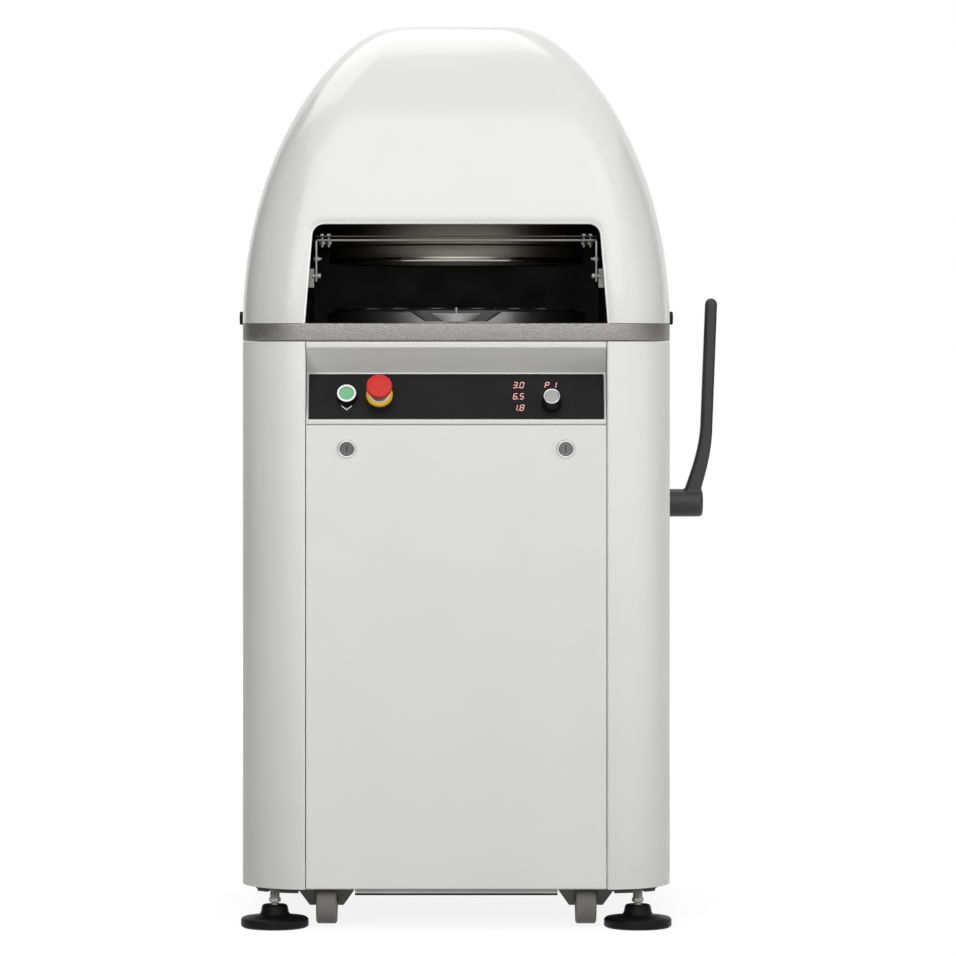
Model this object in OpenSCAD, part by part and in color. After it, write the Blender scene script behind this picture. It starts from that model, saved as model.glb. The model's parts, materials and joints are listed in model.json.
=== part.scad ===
// Floor-standing dividing and rounding machine for dough, in separate named pieces.
// Millimetres. +Z is up, -Y is the operator's side, +X is the lever side.
// The origin is on the floor, midway between the side panels and between the front and rear panels.

/* [Cabinet] */
// Width over the two side panels
body_w = 660; // [640:5:720]
// Depth over the front and rear panels
body_d = 640; // [630:5:720]
// Radius of the four upright cabinet corners
corner_r = 100; // [85:5:110]
// Height of the panels' lower edge above the floor
panel_bottom = 64; // [60:1:80]
// Thickness of the panel sheet
sheet = 2; // [1.5:0.1:2.5]
// Gap between neighbouring panels
seam = 2; // [1:0.5:3]

/* [Table] */
// Height of the table's upper face above the floor
table_top = 928; // [920:1:970]
// Thickness of the cast table ring
table_t = 27; // [20:1:30]
// Gap between the table's round opening and the reach of the plate carrier
opening_gap = 13; // [11:0.5:14]

/* [Console] */
// Height of the upright lip under the table
lip_h = 9; // [6:1:12]
// Drop of the sloping soffit behind the lip
soffit_h = 39; // [34:1:44]
// Depth of the recess at its deepest
recess_d = 36; // [30:1:40]
// Upright height of the leaning fascia
fascia_h = 71; // [66:1:76]
// Thickness of the fascia
fascia_t = 3; // [2:0.5:4]
// Height of the sill under the fascia
sill_h = 8; // [6:1:12]

/* [Controls] */
// Distance of the start button from the console's left end
start_end_gap = 61.5; // [39:0.5:67]
// Outer radius of the start button's bezel
start_ring_r = 15.2; // [14:0.2:17]
// Distance of the emergency stop from the console's left end
estop_end_gap = 111.5; // [107:0.5:124]
// Radius of the emergency stop's mushroom head
estop_head_r = 20; // [18:0.5:22]
// Distance of the selector from the console's right end
selector_end_gap = 83.5; // [49:0.5:87]
// Radius of the selector knob
selector_r = 13; // [11:0.5:15]
// Distance of each panel lock from the service panel's end
lock_end_gap = 62; // [39:1:89]

/* [Hood] */
// Height of the hood above the table
hood_h = 472; // [450:2:520]
// Width of the flat on the hood's top
hood_top_w = 178; // [160:2:220]
// Wall thickness of the hood
hood_wall = 4; // [3:0.5:5]
// Width of the throat opening at the table
throat_w = 462; // [440:2:466]
// Height of the throat opening
throat_h = 154; // [146:1:170]
// How far each side of the throat leans in towards its top
throat_lean = 12; // [0:1:20]
// Radius of the throat's upper corners
throat_corner_r = 18; // [12:1:40]

/* [Hand lever] */
// Height of the lever's pivot above the floor
lever_z = 645; // [635:1:655]
// Length of the lever from its pivot to its tip
lever_l = 324; // [280:2:360]
// Radius of the lever's boss
lever_boss_r = 22; // [20:0.5:26]
// Width of the lever's grip seen from the front
lever_grip_w = 19; // [16:0.5:24]
// Depth of the lever's grip from front to back
lever_grip_d = 26; // [20:1:36]
// Angle through which the lever is pulled
lever_pull = 55; // [40:1:58]

/* [Feet and castors] */
// Radius of a levelling pad
pad_r = 52; // [46:1:56]
// Height of a levelling pad
pad_h = 35; // [32:1:40]
// Radius of a levelling spindle
spindle_r = 7; // [5:0.5:8]
// Radius of a castor wheel
wheel_r = 38; // [34:0.5:39]
// Width of a castor wheel
wheel_w = 32; // [26:1:34]
// Height of the castor wheels above the floor while the machine stands on its feet
castor_lift = 5; // [4:0.5:8]

/* [Press head] */
// Outer radius of the press ring
ring_r = 200; // [197:0.5:203]
// Height of the raised press ring above the table
ring_lift = 95; // [94:1:110]
// Height of the press ring
ring_h = 102; // [100:1:108]
// Radius of the ram
ram_r = 22.5; // [18:0.5:28]
// Thickness of a knife blade
blade_t = 2; // [1.5:0.1:3]
// Travel of the knives below the stamps
knife_stroke = 27; // [20:1:28]

/* [Rounding drive] */
// Radius of the circle on which the plate carrier runs
orbit_r = 10; // [8:0.5:11]
// How far the plate carrier stands out past the press ring
carrier_lead = 5; // [2:0.5:6]
// Height of the carrier's rim above the table
rim_rise = 18; // [14:1:19]
// Belt radius of the large pulley
driven_r = 90; // [80:1:94]
// Belt radius of the motor pulley
motor_pulley_r = 30; // [24:1:34]

/* [Hidden] */
$fn = 96;

// Clearances: a cut's overrun, a running fit and a seat
cut = 1;
fit = 0.05;
seat = 0.3;

// Colours
white_paint = [0.86, 0.86, 0.84];
black_plastic = [0.06, 0.06, 0.06];
steel = [0.62, 0.62, 0.62];
dark_steel = [0.3, 0.3, 0.31];
cast_grey = [0.5, 0.5, 0.49];

// Cabinet, worked out
half_w = body_w / 2;
rear_y = body_d / 2;
front_y = -rear_y;
seam_x = half_w - corner_r;
front_half = seam_x - seam / 2;
table_bottom = table_top - table_t;
panel_top = table_bottom - seam / 2;
flange_d = 19;
carrier_r = ring_r + carrier_lead;
table_opening_r = carrier_r + orbit_r + opening_gap;
start_x = front_half - start_end_gap;
estop_x = front_half - estop_end_gap;
selector_x = front_half - selector_end_gap;
lock_x = front_half - lock_end_gap;

// Base plate and rails
base_rise = 51;
base_t = 8;
base_top = panel_bottom + base_rise;
base_bottom = base_top - base_t;
base_half_w = half_w - sheet - seat;
base_half_d = rear_y - flange_d - seat;
base_corner_r = corner_r - sheet - seat;
rail_drop = 9;
rail_bottom = panel_bottom - rail_drop;
rail_inset = 20;
rail_d = 30;
rail_outer = rear_y - rail_inset;
foot_boss_r = 18;
foot_plate_t = 6;
foot_plate_inset = 5;
foot_plate_lead = 26;
foot_plate_d = 70;
foot_slot_gap = 1.5;
foot_plate_top = panel_bottom - seat;

// Posts
post_w = 40;
post_wall = 3;
post_side_gap = 53;
post_end_gap = 64;
post_x = half_w - post_side_gap;
post_y = rear_y - post_end_gap;
post_front = -(post_y + post_w / 2);

// Feet and castors, worked out
foot_side_gap = 51;
foot_end_gap = 60;
foot_x = half_w - foot_side_gap;
foot_y = rear_y - foot_end_gap;
pad_rim_h = 13;
pad_edge = 2;
pad_shoulder_h = 19;
pad_neck_r = 20;
pad_neck_h = 24;
spindle_foot_h = 25;
spindle_top = base_top - base_t / 2;
foot_nut_r = 9;
foot_nut_h = 7;
foot_nut_gap = 3.5;
castor_gap = 12;
castor_x = foot_x - pad_r - castor_gap - wheel_w / 2;
castor_end_gap = 65;
castor_y = rear_y - castor_end_gap;
wheel_z = castor_lift + wheel_r;
wheel_edge = 5;
wheel_dish_r = 24;
wheel_dish_d = 4;
axle_r = 5;
fork_t = 3;
fork_gap = 1;
fork_inner = wheel_w / 2 + fork_gap;
fork_plate_t = 4;
fork_plate_half_w = 42;
fork_flange_gap = 1;
fork_plate_half_d = castor_end_gap - flange_d - fork_flange_gap;
fork_leg_top_half_d = 40;
fork_leg_low_half_d = 16;
fork_leg_drop = 8;
fork_toe_w = 9;
fork_flare_drop = 6;
fork_web_rise = 4;
rail_half = castor_x - fork_plate_half_w - seam;
foot_plate_in = castor_x + fork_plate_half_w + seat;

// Console, worked out
console_top = panel_top;
lip_z = console_top - lip_h;
deep_z = lip_z - soffit_h;
sill_z = deep_z - fascia_h;
console_bottom = sill_z - sill_h;
fascia_tilt = atan(recess_d / fascia_h);
fascia_l = sqrt(recess_d * recess_d + fascia_h * fascia_h);
fascia_trim = 2;
fascia_side_gap = 3.5;
sheet_shift = fascia_t / cos(fascia_tilt);
ear_h = 40;
ear_in = 20;
keeper_d = 23;
keeper_h = 25;
keeper_y = front_y + keeper_d;

// Start button
barrel_r = 11;
barrel_l = 13;
start_ring_h = 11;
start_cap_r = 10;
start_cap_sink = 1.5;
start_cap_l = 8;

// Emergency stop, heights from the fascia's face
estop_collar_r = 21;
estop_collar_top_r = 18;
estop_collar_h = 10;
estop_stem_r = 9;
estop_stem_l = 8;
estop_shoulder = 26;
estop_pin_r = 6;
estop_pin_top = 31;
estop_rim_low = 30;
estop_rim_high = 33;
estop_dome = 36.3;
estop_skirt_share = 0.65;
estop_crown_share = 0.8;
estop_crown = 35.3;

// Selector, heights from the fascia's face
selector_v = -12;
bush_r = 4.5;
bush_top = 1.5;
bush_l = 12;
selector_pin_r = 3;
selector_pin_l = 9;
selector_low = 2;
selector_pocket_r = 7;
selector_pocket_top = 6;
selector_top = 24;
selector_cap_inset = 1;
selector_cap_t = 1.2;

// Switch blocks, encoder and display boards behind the fascia
block_half_w = 15;
block_half_l = 20;
block_d = 42;
encoder_half = 12;
encoder_d = 12;
board_d = 22;
board_half_l = 30;
numeral_board_gap = 27.5;
numeral_board_w = 48;
numeral_board_right = selector_x - numeral_board_gap;
numeral_board = [[numeral_board_right - numeral_board_w, numeral_board_right], [-board_half_l, board_half_l]];
programme_shift = 0.5;
programme_half_w = 22;
programme_low = 8;
programme_x = selector_x + programme_shift;
programme_board = [
    [programme_x - programme_half_w, programme_x + programme_half_w],
    [programme_low, board_half_l]
];

// Panel locks
lock_drop = 37;
lock_z = console_bottom - lock_drop;
lock_ring_r = 14.5;
lock_ring_t = 3;
lock_barrel_r = 11.5;
lock_barrel_l = 16;
lock_core_r = 10.5;
lock_core_sink = 0.8;
lock_slot_w = 3;
lock_slot_l = 14;
lock_slot_d = 3;
tongue_w = 14;
tongue_t = 3;
tongue_up = 30;
tongue_down = 8;

// Service panel and rear panel
console_seam = 0.6;
top_flange_d = 12;
louvre_w = 120;
louvre_h = 8;
louvre_pitch = 22;
louvre_count = 9;
louvre_x = 80;
louvre_z = 560;
gland_x = -150;
gland_z = 210;
gland_r = 10;
gland_bore_r = 5;
gland_nut_r = 15;
gland_nut_l = 18;
gland_locknut_l = 6;

// Chamber behind the throat
liner_side_gap = 5;
liner_half = table_opening_r + liner_side_gap;
liner_t = 2;
liner_h = 147;
liner_front_d = 50;
liner_back_gap = 3;
liner_back = table_opening_r + liner_back_gap;
column_half_w = 90;
column_wall = 8;
column_gap = 2;
column_front = liner_back + column_gap;
column_back_gap = 20;

// Press head, worked out
ring_bottom = table_top + ring_lift;
ring_top = ring_bottom + ring_h;
ring_wall = 6;
ring_bead = 3;
ring_bead_h = 7;
ring_groove_low = 27;
ring_groove_h = 8;
ring_groove_d = 1.5;
press_plate_t = 12;
press_plate_top = ring_top + press_plate_t;
stamp_rise = 27;
stamp_t = 20;
stamp_clear = 1;
stamp_low = ring_bottom + stamp_rise;
stamp_high = stamp_low + stamp_t;
stamp_ring_gap = 2;
stamp_r = ring_r - ring_wall - stamp_ring_gap;
stamp_rod_r = 5;
rod_sink = 5;
cell_edge_shares = [0, 0.390625, 0.6979166667, 1];
cell_edge = stamp_r * cell_edge_shares;
cell_count = [4, 10, 16];
blade_sink = 1;
blade_low = stamp_low + blade_sink;
knife_plate_t = 8;
knife_plate_drop = 20;
knife_plate_low = ring_top - knife_plate_drop;
knife_plate_gap = 8;
knife_plate_r = ring_r - ring_wall - knife_plate_gap;
knife_rod_hole_r = 6.5;
knife_rod_r = 7;
knife_rod_ring_r = cell_edge[2];
knife_rod_count = 3;
yoke_gap = 2;
yoke_low = press_plate_top + knife_stroke + yoke_gap;
yoke_t = 8;
yoke_half = 14;
bridge_rise = 55;
bridge_low = ring_top + bridge_rise;
bridge_h = 55;
bridge_half_w = 70;
bridge_front = -75;
barrel_outer_r = 45;
barrel_inner_r = 35;
barrel_head_gap = 55;
barrel_top = table_top + hood_h - barrel_head_gap;
barrel_floor_t = 15;
barrel_cap_t = 10;
barrel_flange_r = 62;
barrel_flange_t = 12;
piston_t = 20;
piston_gap = 5;
ram_flange_r = 45;
ram_flange_t = 12;

// Safety bail
guard_inset = 55;
guard_y = front_y + guard_inset;
guard_pivot_rise = 73;
guard_pivot_z = table_top + guard_pivot_rise;
guard_bar_rise = 126;
guard_bar_z = table_top + guard_bar_rise;
guard_arm_gap = 18;
guard_arm_x = liner_half - guard_arm_gap;
guard_arm_t = 3;
guard_arm_half = 10;
guard_arm_below = 9;
guard_strip_t = 3;
guard_strip_half = 10;
guard_top_strip_t = 2;
guard_top_strip_rise = 6.5;
guard_bolt_insets = [19, 9];
guard_bolt_x = [for (inset = guard_bolt_insets) guard_arm_x - inset];
guard_bolt_r = 2.5;
guard_head_r = 4.5;
guard_head_t = 3.5;
guard_nut_t = 5;
guard_pin_r = 3;
guard_spacer_r = 5;
guard_spacer_t = 5;
bracket_plate_t = 3;
bracket_low_rise = 55;
bracket_high_rise = 84;
bracket_low = table_top + bracket_low_rise;
bracket_high = table_top + bracket_high_rise;
bracket_reach = 14.5;
bracket_back = 28;
bracket_lead = 3;
bracket_face_y = guard_y - bracket_lead;
stop_screw_rise = 26;

// Hood, worked out: shares and powers shape the bell
hood_levels = 14;
hood_corner_steps = 7;
hood_rise_power = 1.8;
hood_side_power = 1.85;
hood_back_power = 6;
hood_back_round_power = 2.2;
hood_corner_share = 0.9;
hood_top_half = hood_top_w / 2;
hood_top_front = 80;
hood_top_back = 180;
throat_lean_angle = atan(throat_lean / throat_h);
knob_y = -100;
knob_rise = 9;
knob_r = 10.5;
knob_t = 10;
knob_shank_r = 4;
knob_shank_l = 22;
knob_collar_r = 6;
knob_collar_t = 7;
knob_hole_r = 4.3;
hood_bracket_t = 2.5;
hood_bracket_inset = 10;
hood_bracket_w = 30;
hood_bracket_foot = 24;
hood_bracket_h = 24;

// Lever, worked out; places along X start at the side panel's face
lever_y = -40;
lever_boss_start = 1.5;
lever_boss_end = 61;
lever_root = [38, 0];
lever_root_handle = [50, 40];
lever_bend_handle = [64, 75];
lever_bend = [66, 120];
lever_tip_x = 73.5;
lever_root_half = 13;
lever_bend_steps = 10;
lever_tip_steps = 12;
shaft_r = 12.5;
shaft_inner = -125;
shaft_outer = 56;
crank_disc_r = 20;
crank_disc_t = 12;
crank_r = 16;
crank_pin_r = 4;
crank_pin_l = 15;
bush_sleeve_r = 17;
bush_inner = -80;
bush_outer = 1;
bush_flange_r = 28;
bush_flange_t = 6;

// Valve and hydraulic unit
valve_side_gap = 175;
valve_x = half_w - valve_side_gap;
valve_half = 30;
valve_lead = 30;
valve_l = 80;
valve_front = lever_y + valve_lead;
valve_back = valve_front + valve_l;
valve_below = 44;
valve_above = 36;
spool_r = 8;
spool_z = lever_z - crank_r;
spool_end = 6;
yoke_plate_half_d = 10;
yoke_plate_half_h = 14;
yoke_slot_clear = 0.6;
yoke_slot_spare = 4;
yoke_end_gap = 1;
pin_rest_y = lever_y - crank_r * sin(lever_pull / 2);
tank_w = 150;
tank_side_gap = 90;
tank_half_d = 110;
tank_top = spool_z - valve_below;
pump_gap = 30;
pump_r = 60;
pump_h = 215;
control_box_gap = 17;
control_box_w = 180;
control_box_left = -(post_x - post_w / 2 - control_box_gap);
control_box_front = 50;
control_box_d = 100;
control_box_h = 445;

// Rounding drive, worked out
bed_gap = 40;
bed_t = 16;
bed_top = table_bottom - bed_gap;
bed_bottom = bed_top - bed_t;
bed_half_w = post_x - post_w / 2 - seat;
bed_half_d = post_y + post_w / 2;
bed_arm_w = 18;
bed_cut_half = bed_half_w - bed_arm_w;
bed_cut_d = 125;
bed_cut_back = front_y + bed_cut_d;
main_boss_r = 38;
main_boss_l = 60;
main_shaft_r = 20;
side_boss_r = 26;
side_boss_l = 40;
side_shaft_r = 12.5;
side_crank_inset = 55;
side_crank_x = carrier_r - side_crank_inset;
side_crank_y = -60;
crank_gap = 1;
main_disc_r = 48;
main_disc_t = 14;
main_pin_r = 15;
side_disc_r = 30;
side_disc_t = 10;
side_pin_r = 10;
pan_t = 8;
pan_drop = 11;
pan_bottom = table_top - pan_drop;
rim_t = 8;
rim_top = table_top + rim_rise;
pin_head_gap = 3;
pin_top = pan_bottom - pin_head_gap;
hub_gap = 4;
main_hub_r = 32;
side_hub_r = 22;
notch_top_half = 71;
notch_low_half = 48;
notch_d = 15;
plate_gap = 1;
plate_r = carrier_r - rim_t - plate_gap;
plate_t = 25;
pocket_r = 26;
pocket_wall = 2;
pocket_rim_h = 3;
pocket_depth = 3.5;
pocket_shift = [7.5, -0.5, -1];
pocket_ring_r = [for (band = [0 : len(cell_count) - 1]) cell_middle(band) + pocket_shift[band]];
grip_top_half = 36.5;
grip_low_half = 20;
grip_h = 13;
grip_d = 18;
grip_lead = 11;
grip_front = carrier_r + grip_lead;
grip_pin_r = 1.5;
grip_pin_l = 9;
pulley_flange = 5;
pulley_t = 28;
pulley_groove = 14;
pulley_drop = 72;
pulley_top = bed_bottom - pulley_drop;
pulley_bottom = pulley_top - pulley_t;
belt_t = 5;
belt_h = 12;
shaft_tail = 3;
motor_side_gap = 160;
motor_end_gap = 170;
motor_x = -(half_w - motor_side_gap);
motor_y = rear_y - motor_end_gap;
motor_r = 65;
motor_h = 175;
motor_plate_half = 75;
motor_plate_t = 8;
motor_plate_gap = 2;
motor_plate_top = pulley_bottom - motor_plate_gap;
motor_post_r = 8;
motor_post_off = 62;
rotor_r = 12;
rotor_l = 40;

// Block between pairs of limits along X, Y and Z
module block(x, y, z) {
    translate([x[0], y[0], z[0]])
        cube([x[1] - x[0], y[1] - y[0], z[1] - z[0]]);
}

// Round bars along X, Y and Z between two limits
module x_bar(r, x) {
    translate([x[0], 0, 0])
        rotate([0, 90, 0])
            cylinder(r = r, h = x[1] - x[0]);
}

module y_bar(r, y) {
    translate([0, y[0], 0])
        rotate([-90, 0, 0])
            cylinder(r = r, h = y[1] - y[0]);
}

module z_bar(r, z) {
    translate([0, 0, z[0]])
        cylinder(r = r, h = z[1] - z[0]);
}

// Tube along Z
module z_tube(outer, inner, z) {
    difference() {
        z_bar(outer, z);
        z_bar(inner, [z[0] - cut, z[1] + cut]);
    }
}

// Profile drawn as [y, z] and swept along X, and profile drawn as [x, z] and swept along Y
module sweep_x(x) {
    translate([x[0], 0, 0])
        rotate([90, 0, 90])
            linear_extrude(height = x[1] - x[0])
                children();
}

module sweep_y(y) {
    translate([0, y[1], 0])
        rotate([90, 0, 0])
            linear_extrude(height = y[1] - y[0])
                children();
}

// Rectangle with true round corners, centred
module rounded_rect(w, d, r) {
    square([w, d - 2 * r], center = true);
    square([w - 2 * r, d], center = true);
    for (sx = [-1, 1], sy = [-1, 1])
        translate([sx * (w / 2 - r), sy * (d / 2 - r)])
            circle(r = r);
}

// Copies at the four corners x, y
module at_corners(x, y) {
    for (sx = [-1, 1], sy = [-1, 1])
        translate([sx * x, sy * y, 0])
            children();
}

// Copies at the left and the right, mirrored
module both_sides() {
    children();
    mirror([1, 0, 0])
        children();
}

// Places on the leaning fascia: u to the right, v up the slope, local z out of its face
module on_fascia(u, v) {
    translate([u, front_y + recess_d / 2, (deep_z + sill_z) / 2])
        rotate([90 - fascia_tilt, 0, 0])
            translate([0, v, 0])
                children();
}

// Foot plate at the front right corner: the cabinet's rounded outline, with a slot for the spindle
module foot_plate_outline() {
    slot_half = spindle_r + foot_slot_gap;
    difference() {
        intersection() {
            rounded_rect(
                body_w - 2 * foot_plate_inset,
                body_d - 2 * foot_plate_inset,
                corner_r - foot_plate_inset
            );
            translate([foot_plate_in, front_y])
                square([foot_x + foot_plate_lead - foot_plate_in, foot_plate_d]);
        }
        translate([foot_x, -foot_y])
            circle(r = slot_half);
        translate([foot_x - slot_half, front_y])
            square([2 * slot_half, foot_end_gap]);
    }
}

// Base plate with cross rails and threaded foot bosses, one weldment
module base_frame() {
    color(dark_steel)
        difference() {
            union() {
                translate([0, 0, base_bottom])
                    linear_extrude(height = base_t)
                        rounded_rect(2 * base_half_w, 2 * base_half_d, base_corner_r);
                for (s = [-1, 1])
                    translate([0, s * (rail_outer - rail_d / 2), 0])
                        block([-rail_half, rail_half], [-rail_d / 2, rail_d / 2], [rail_bottom, base_bottom]);
                for (left = [0, 1], rear = [0, 1])
                    mirror([left, 0, 0])
                        mirror([0, rear, 0])
                            translate([0, 0, foot_plate_top - foot_plate_t])
                                linear_extrude(height = foot_plate_t)
                                    foot_plate_outline();
                at_corners(foot_x, foot_y)
                    z_bar(foot_boss_r, [foot_plate_top, base_bottom]);
            }
            at_corners(foot_x, foot_y)
                z_bar(spindle_r + fit, [foot_plate_top - cut, base_top + cut]);
        }
}

// Four square tubes that carry the table
module corner_posts() {
    post_half = post_w / 2;
    hollow_half = post_half - post_wall;
    color(dark_steel)
        at_corners(post_x, post_y)
            difference() {
                block([-post_half, post_half], [-post_half, post_half], [base_top, table_bottom]);
                block(
                    [-hollow_half, hollow_half],
                    [-hollow_half, hollow_half],
                    [base_top - cut, table_bottom + cut]
                );
            }
}

// Side panel outline: the cabinet's rounded skin outside the seams, with two inward flanges
module side_panel_outline() {
    intersection() {
        difference() {
            rounded_rect(body_w, body_d, corner_r);
            rounded_rect(body_w - 2 * sheet, body_d - 2 * sheet, corner_r - sheet);
        }
        translate([seam_x, front_y])
            square([corner_r, body_d]);
    }
    for (s = [0, 1])
        translate([seam_x, front_y + s * (body_d - flange_d)])
            square([sheet, flange_d]);
}

module side_panel() {
    translate([0, 0, panel_bottom])
        linear_extrude(height = panel_top - panel_bottom)
            side_panel_outline();
}

module left_side_panel() {
    color(white_paint)
        mirror([1, 0, 0])
            side_panel();
}

module right_side_panel() {
    color(white_paint)
        difference() {
            side_panel();
            translate([0, lever_y, lever_z])
                x_bar(bush_sleeve_r + fit, [half_w - sheet - cut, half_w + cut]);
        }
}

// Lower front panel, with a folded edge at its top and bottom
module front_service_panel() {
    high = console_bottom - console_seam;
    color(white_paint)
        difference() {
            union() {
                block([-front_half, front_half], [front_y, front_y + sheet], [panel_bottom, high]);
                block(
                    [-front_half, front_half],
                    [front_y, -rail_outer - seat],
                    [panel_bottom, panel_bottom + sheet]
                );
                block([-front_half, front_half], [front_y, front_y + top_flange_d], [high - sheet, high]);
            }
            for (s = [-1, 1])
                translate([s * lock_x, 0, lock_z])
                    y_bar(lock_barrel_r + fit, [front_y - cut, front_y + sheet + cut]);
        }
}

// Rear panel with two columns of louvre slots and the hole for the cable gland
module rear_panel() {
    color(white_paint)
        difference() {
            union() {
                block([-front_half, front_half], [rear_y - sheet, rear_y], [panel_bottom, panel_top]);
                block(
                    [-front_half, front_half],
                    [rail_outer + seat, rear_y],
                    [panel_bottom, panel_bottom + sheet]
                );
            }
            for (s = [-1, 1], i = [0 : louvre_count - 1])
                translate([s * louvre_x, 0, louvre_z + i * louvre_pitch])
                    block([-louvre_w / 2, louvre_w / 2], [rear_y - sheet - cut, rear_y + cut], [0, louvre_h]);
            translate([gland_x, 0, gland_z])
                y_bar(gland_r + fit, [rear_y - sheet - cut, rear_y + cut]);
        }
}

// Inlet gland for the supply cable
module cable_gland() {
    inner = rear_y - sheet - gland_locknut_l;
    outer = rear_y + gland_nut_l;
    color(black_plastic)
        translate([gland_x, 0, gland_z])
            difference() {
                union() {
                    y_bar(gland_r, [inner, outer]);
                    y_bar(gland_nut_r, [inner, rear_y - sheet]);
                    y_bar(gland_nut_r, [rear_y, outer]);
                }
                y_bar(gland_bore_r, [inner - cut, outer + cut]);
            }
}

// Bent sheet of the console: lip, soffit, leaning bed of the fascia, sill
module console_outline() {
    polygon([
        [front_y, console_top],
        [front_y, lip_z],
        [front_y + recess_d + sheet_shift, deep_z],
        [front_y + sheet_shift, sill_z],
        [front_y, sill_z],
        [front_y, console_bottom],
        [front_y + sheet, console_bottom],
        [front_y + sheet, sill_z - sheet],
        [front_y + sheet_shift + sheet, sill_z - sheet],
        [front_y + recess_d + sheet_shift + sheet, deep_z],
        [front_y + sheet, lip_z],
        [front_y + sheet, console_top]
    ]);
}

// Holes for the controls, through whatever lies within the given depth behind the fascia's face
module control_holes(depth) {
    on_fascia(-start_x, 0)
        z_bar(barrel_r + fit, [-depth, cut]);
    on_fascia(-estop_x, 0)
        z_bar(barrel_r + fit, [-depth, cut]);
    on_fascia(selector_x, selector_v)
        z_bar(bush_r + fit, [-depth, cut]);
}

// Block behind the fascia between limits u, v and local z
module fascia_block(u, v, z) {
    on_fascia(0, 0)
        block(u, v, z);
}

module console_housing() {
    depth = fascia_t + 2 * sheet;
    color(white_paint)
        difference() {
            union() {
                sweep_x([-front_half, front_half])
                    console_outline();
                block(
                    [-front_half, front_half],
                    [front_y, post_front - seat],
                    [console_top - sheet, console_top]
                );
                both_sides()
                    block(
                        [front_half - ear_in, post_x],
                        [front_y + flange_d + seat, post_front - seat],
                        [console_top - ear_h, console_top]
                    );
                block(
                    [-front_half, front_half],
                    [front_y, keeper_y + sheet],
                    [console_bottom, console_bottom + sheet]
                );
                block(
                    [-front_half, front_half],
                    [keeper_y, keeper_y + sheet],
                    [console_bottom - keeper_h, console_bottom + sheet]
                );
            }
            control_holes(depth);
            for (board = [numeral_board, programme_board])
                fascia_block(
                    [board[0][0] - seat, board[0][1] + seat],
                    [board[1][0] - seat, board[1][1] + seat],
                    [-depth, -fascia_t]
                );
        }
}

// Black front plate of the console
module control_fascia() {
    half = front_half - fascia_side_gap;
    half_l = fascia_l / 2 - fascia_trim;
    color(black_plastic)
        difference() {
            fascia_block([-half, half], [-half_l, half_l], [fit - fascia_t, 0]);
            control_holes(fascia_t + cut);
        }
}

// Control box, switch blocks, encoder with its bush, and the two numeral boards
module electrical_units() {
    box_front = front_y + control_box_front;
    color(dark_steel) {
        block(
            [control_box_left, control_box_left + control_box_w],
            [box_front, box_front + control_box_d],
            [base_top, base_top + control_box_h]
        );
        for (x = [-start_x, -estop_x])
            on_fascia(x, 0)
                block(
                    [-block_half_w, block_half_w],
                    [-block_half_l, block_half_l],
                    [-barrel_l - seat - block_d, -barrel_l - seat]
                );
        on_fascia(selector_x, selector_v)
            difference() {
                union() {
                    z_bar(bush_r, [-bush_l, bush_top]);
                    block(
                        [-encoder_half, encoder_half],
                        [-encoder_half, encoder_half],
                        [-bush_l - encoder_d, -bush_l]
                    );
                }
                z_bar(selector_pin_r + fit, [-bush_l, bush_top + cut]);
            }
        for (board = [numeral_board, programme_board])
            fascia_block(board[0], board[1], [-fascia_t - seat - board_d, -fascia_t - seat]);
    }
}

// White bezel that guides the start button
module start_button_bezel() {
    color(white_paint)
        on_fascia(-start_x, 0)
            difference() {
                union() {
                    z_bar(start_ring_r, [0, start_ring_h]);
                    z_bar(barrel_r, [-barrel_l, 0]);
                }
                z_bar(start_cap_r + fit, [-barrel_l - cut, start_ring_h + cut]);
            }
}

module start_button() {
    color([0.25, 0.65, 0.4])
        on_fascia(-start_x, 0)
            z_bar(start_cap_r, [-start_cap_l, start_ring_h - start_cap_sink]);
}

// Yellow collar of the emergency stop
module estop_collar() {
    color([0.95, 0.75, 0.1])
        on_fascia(-estop_x, 0)
            difference() {
                union() {
                    cylinder(r1 = estop_collar_r, r2 = estop_collar_top_r, h = estop_collar_h);
                    z_bar(barrel_r, [-barrel_l, 0]);
                }
                z_bar(estop_stem_r + fit, [-barrel_l - cut, estop_collar_h + cut]);
            }
}

// Sliding stem of the emergency stop
module estop_stem() {
    color(steel)
        on_fascia(-estop_x, 0) {
            z_bar(estop_stem_r, [-estop_stem_l, estop_shoulder]);
            z_bar(estop_pin_r, [estop_shoulder, estop_pin_top]);
        }
}

// Mushroom head that turns on the stem
module estop_head() {
    low = estop_shoulder + seat;
    color([0.8, 0.15, 0.12])
        on_fascia(-estop_x, 0)
            difference() {
                rotate_extrude()
                    polygon([
                        [0, low],
                        [estop_head_r * estop_skirt_share, low],
                        [estop_head_r, estop_rim_low],
                        [estop_head_r, estop_rim_high],
                        [estop_head_r * estop_crown_share, estop_crown],
                        [0, estop_dome]
                    ]);
                z_bar(estop_pin_r + fit, [low - cut, estop_pin_top + seat]);
            }
}

// Turning selector with its pin
module selector_knob() {
    color(black_plastic)
        on_fascia(selector_x, selector_v) {
            difference() {
                z_bar(selector_r, [selector_low, selector_top]);
                z_bar(selector_pocket_r, [selector_low - cut, selector_pocket_top]);
            }
            z_bar(selector_pin_r, [-selector_pin_l, selector_pocket_top + cut]);
        }
}

module selector_cap() {
    color(steel)
        on_fascia(selector_x, selector_v)
            z_bar(selector_r - selector_cap_inset, [selector_top, selector_top + selector_cap_t]);
}

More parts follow.
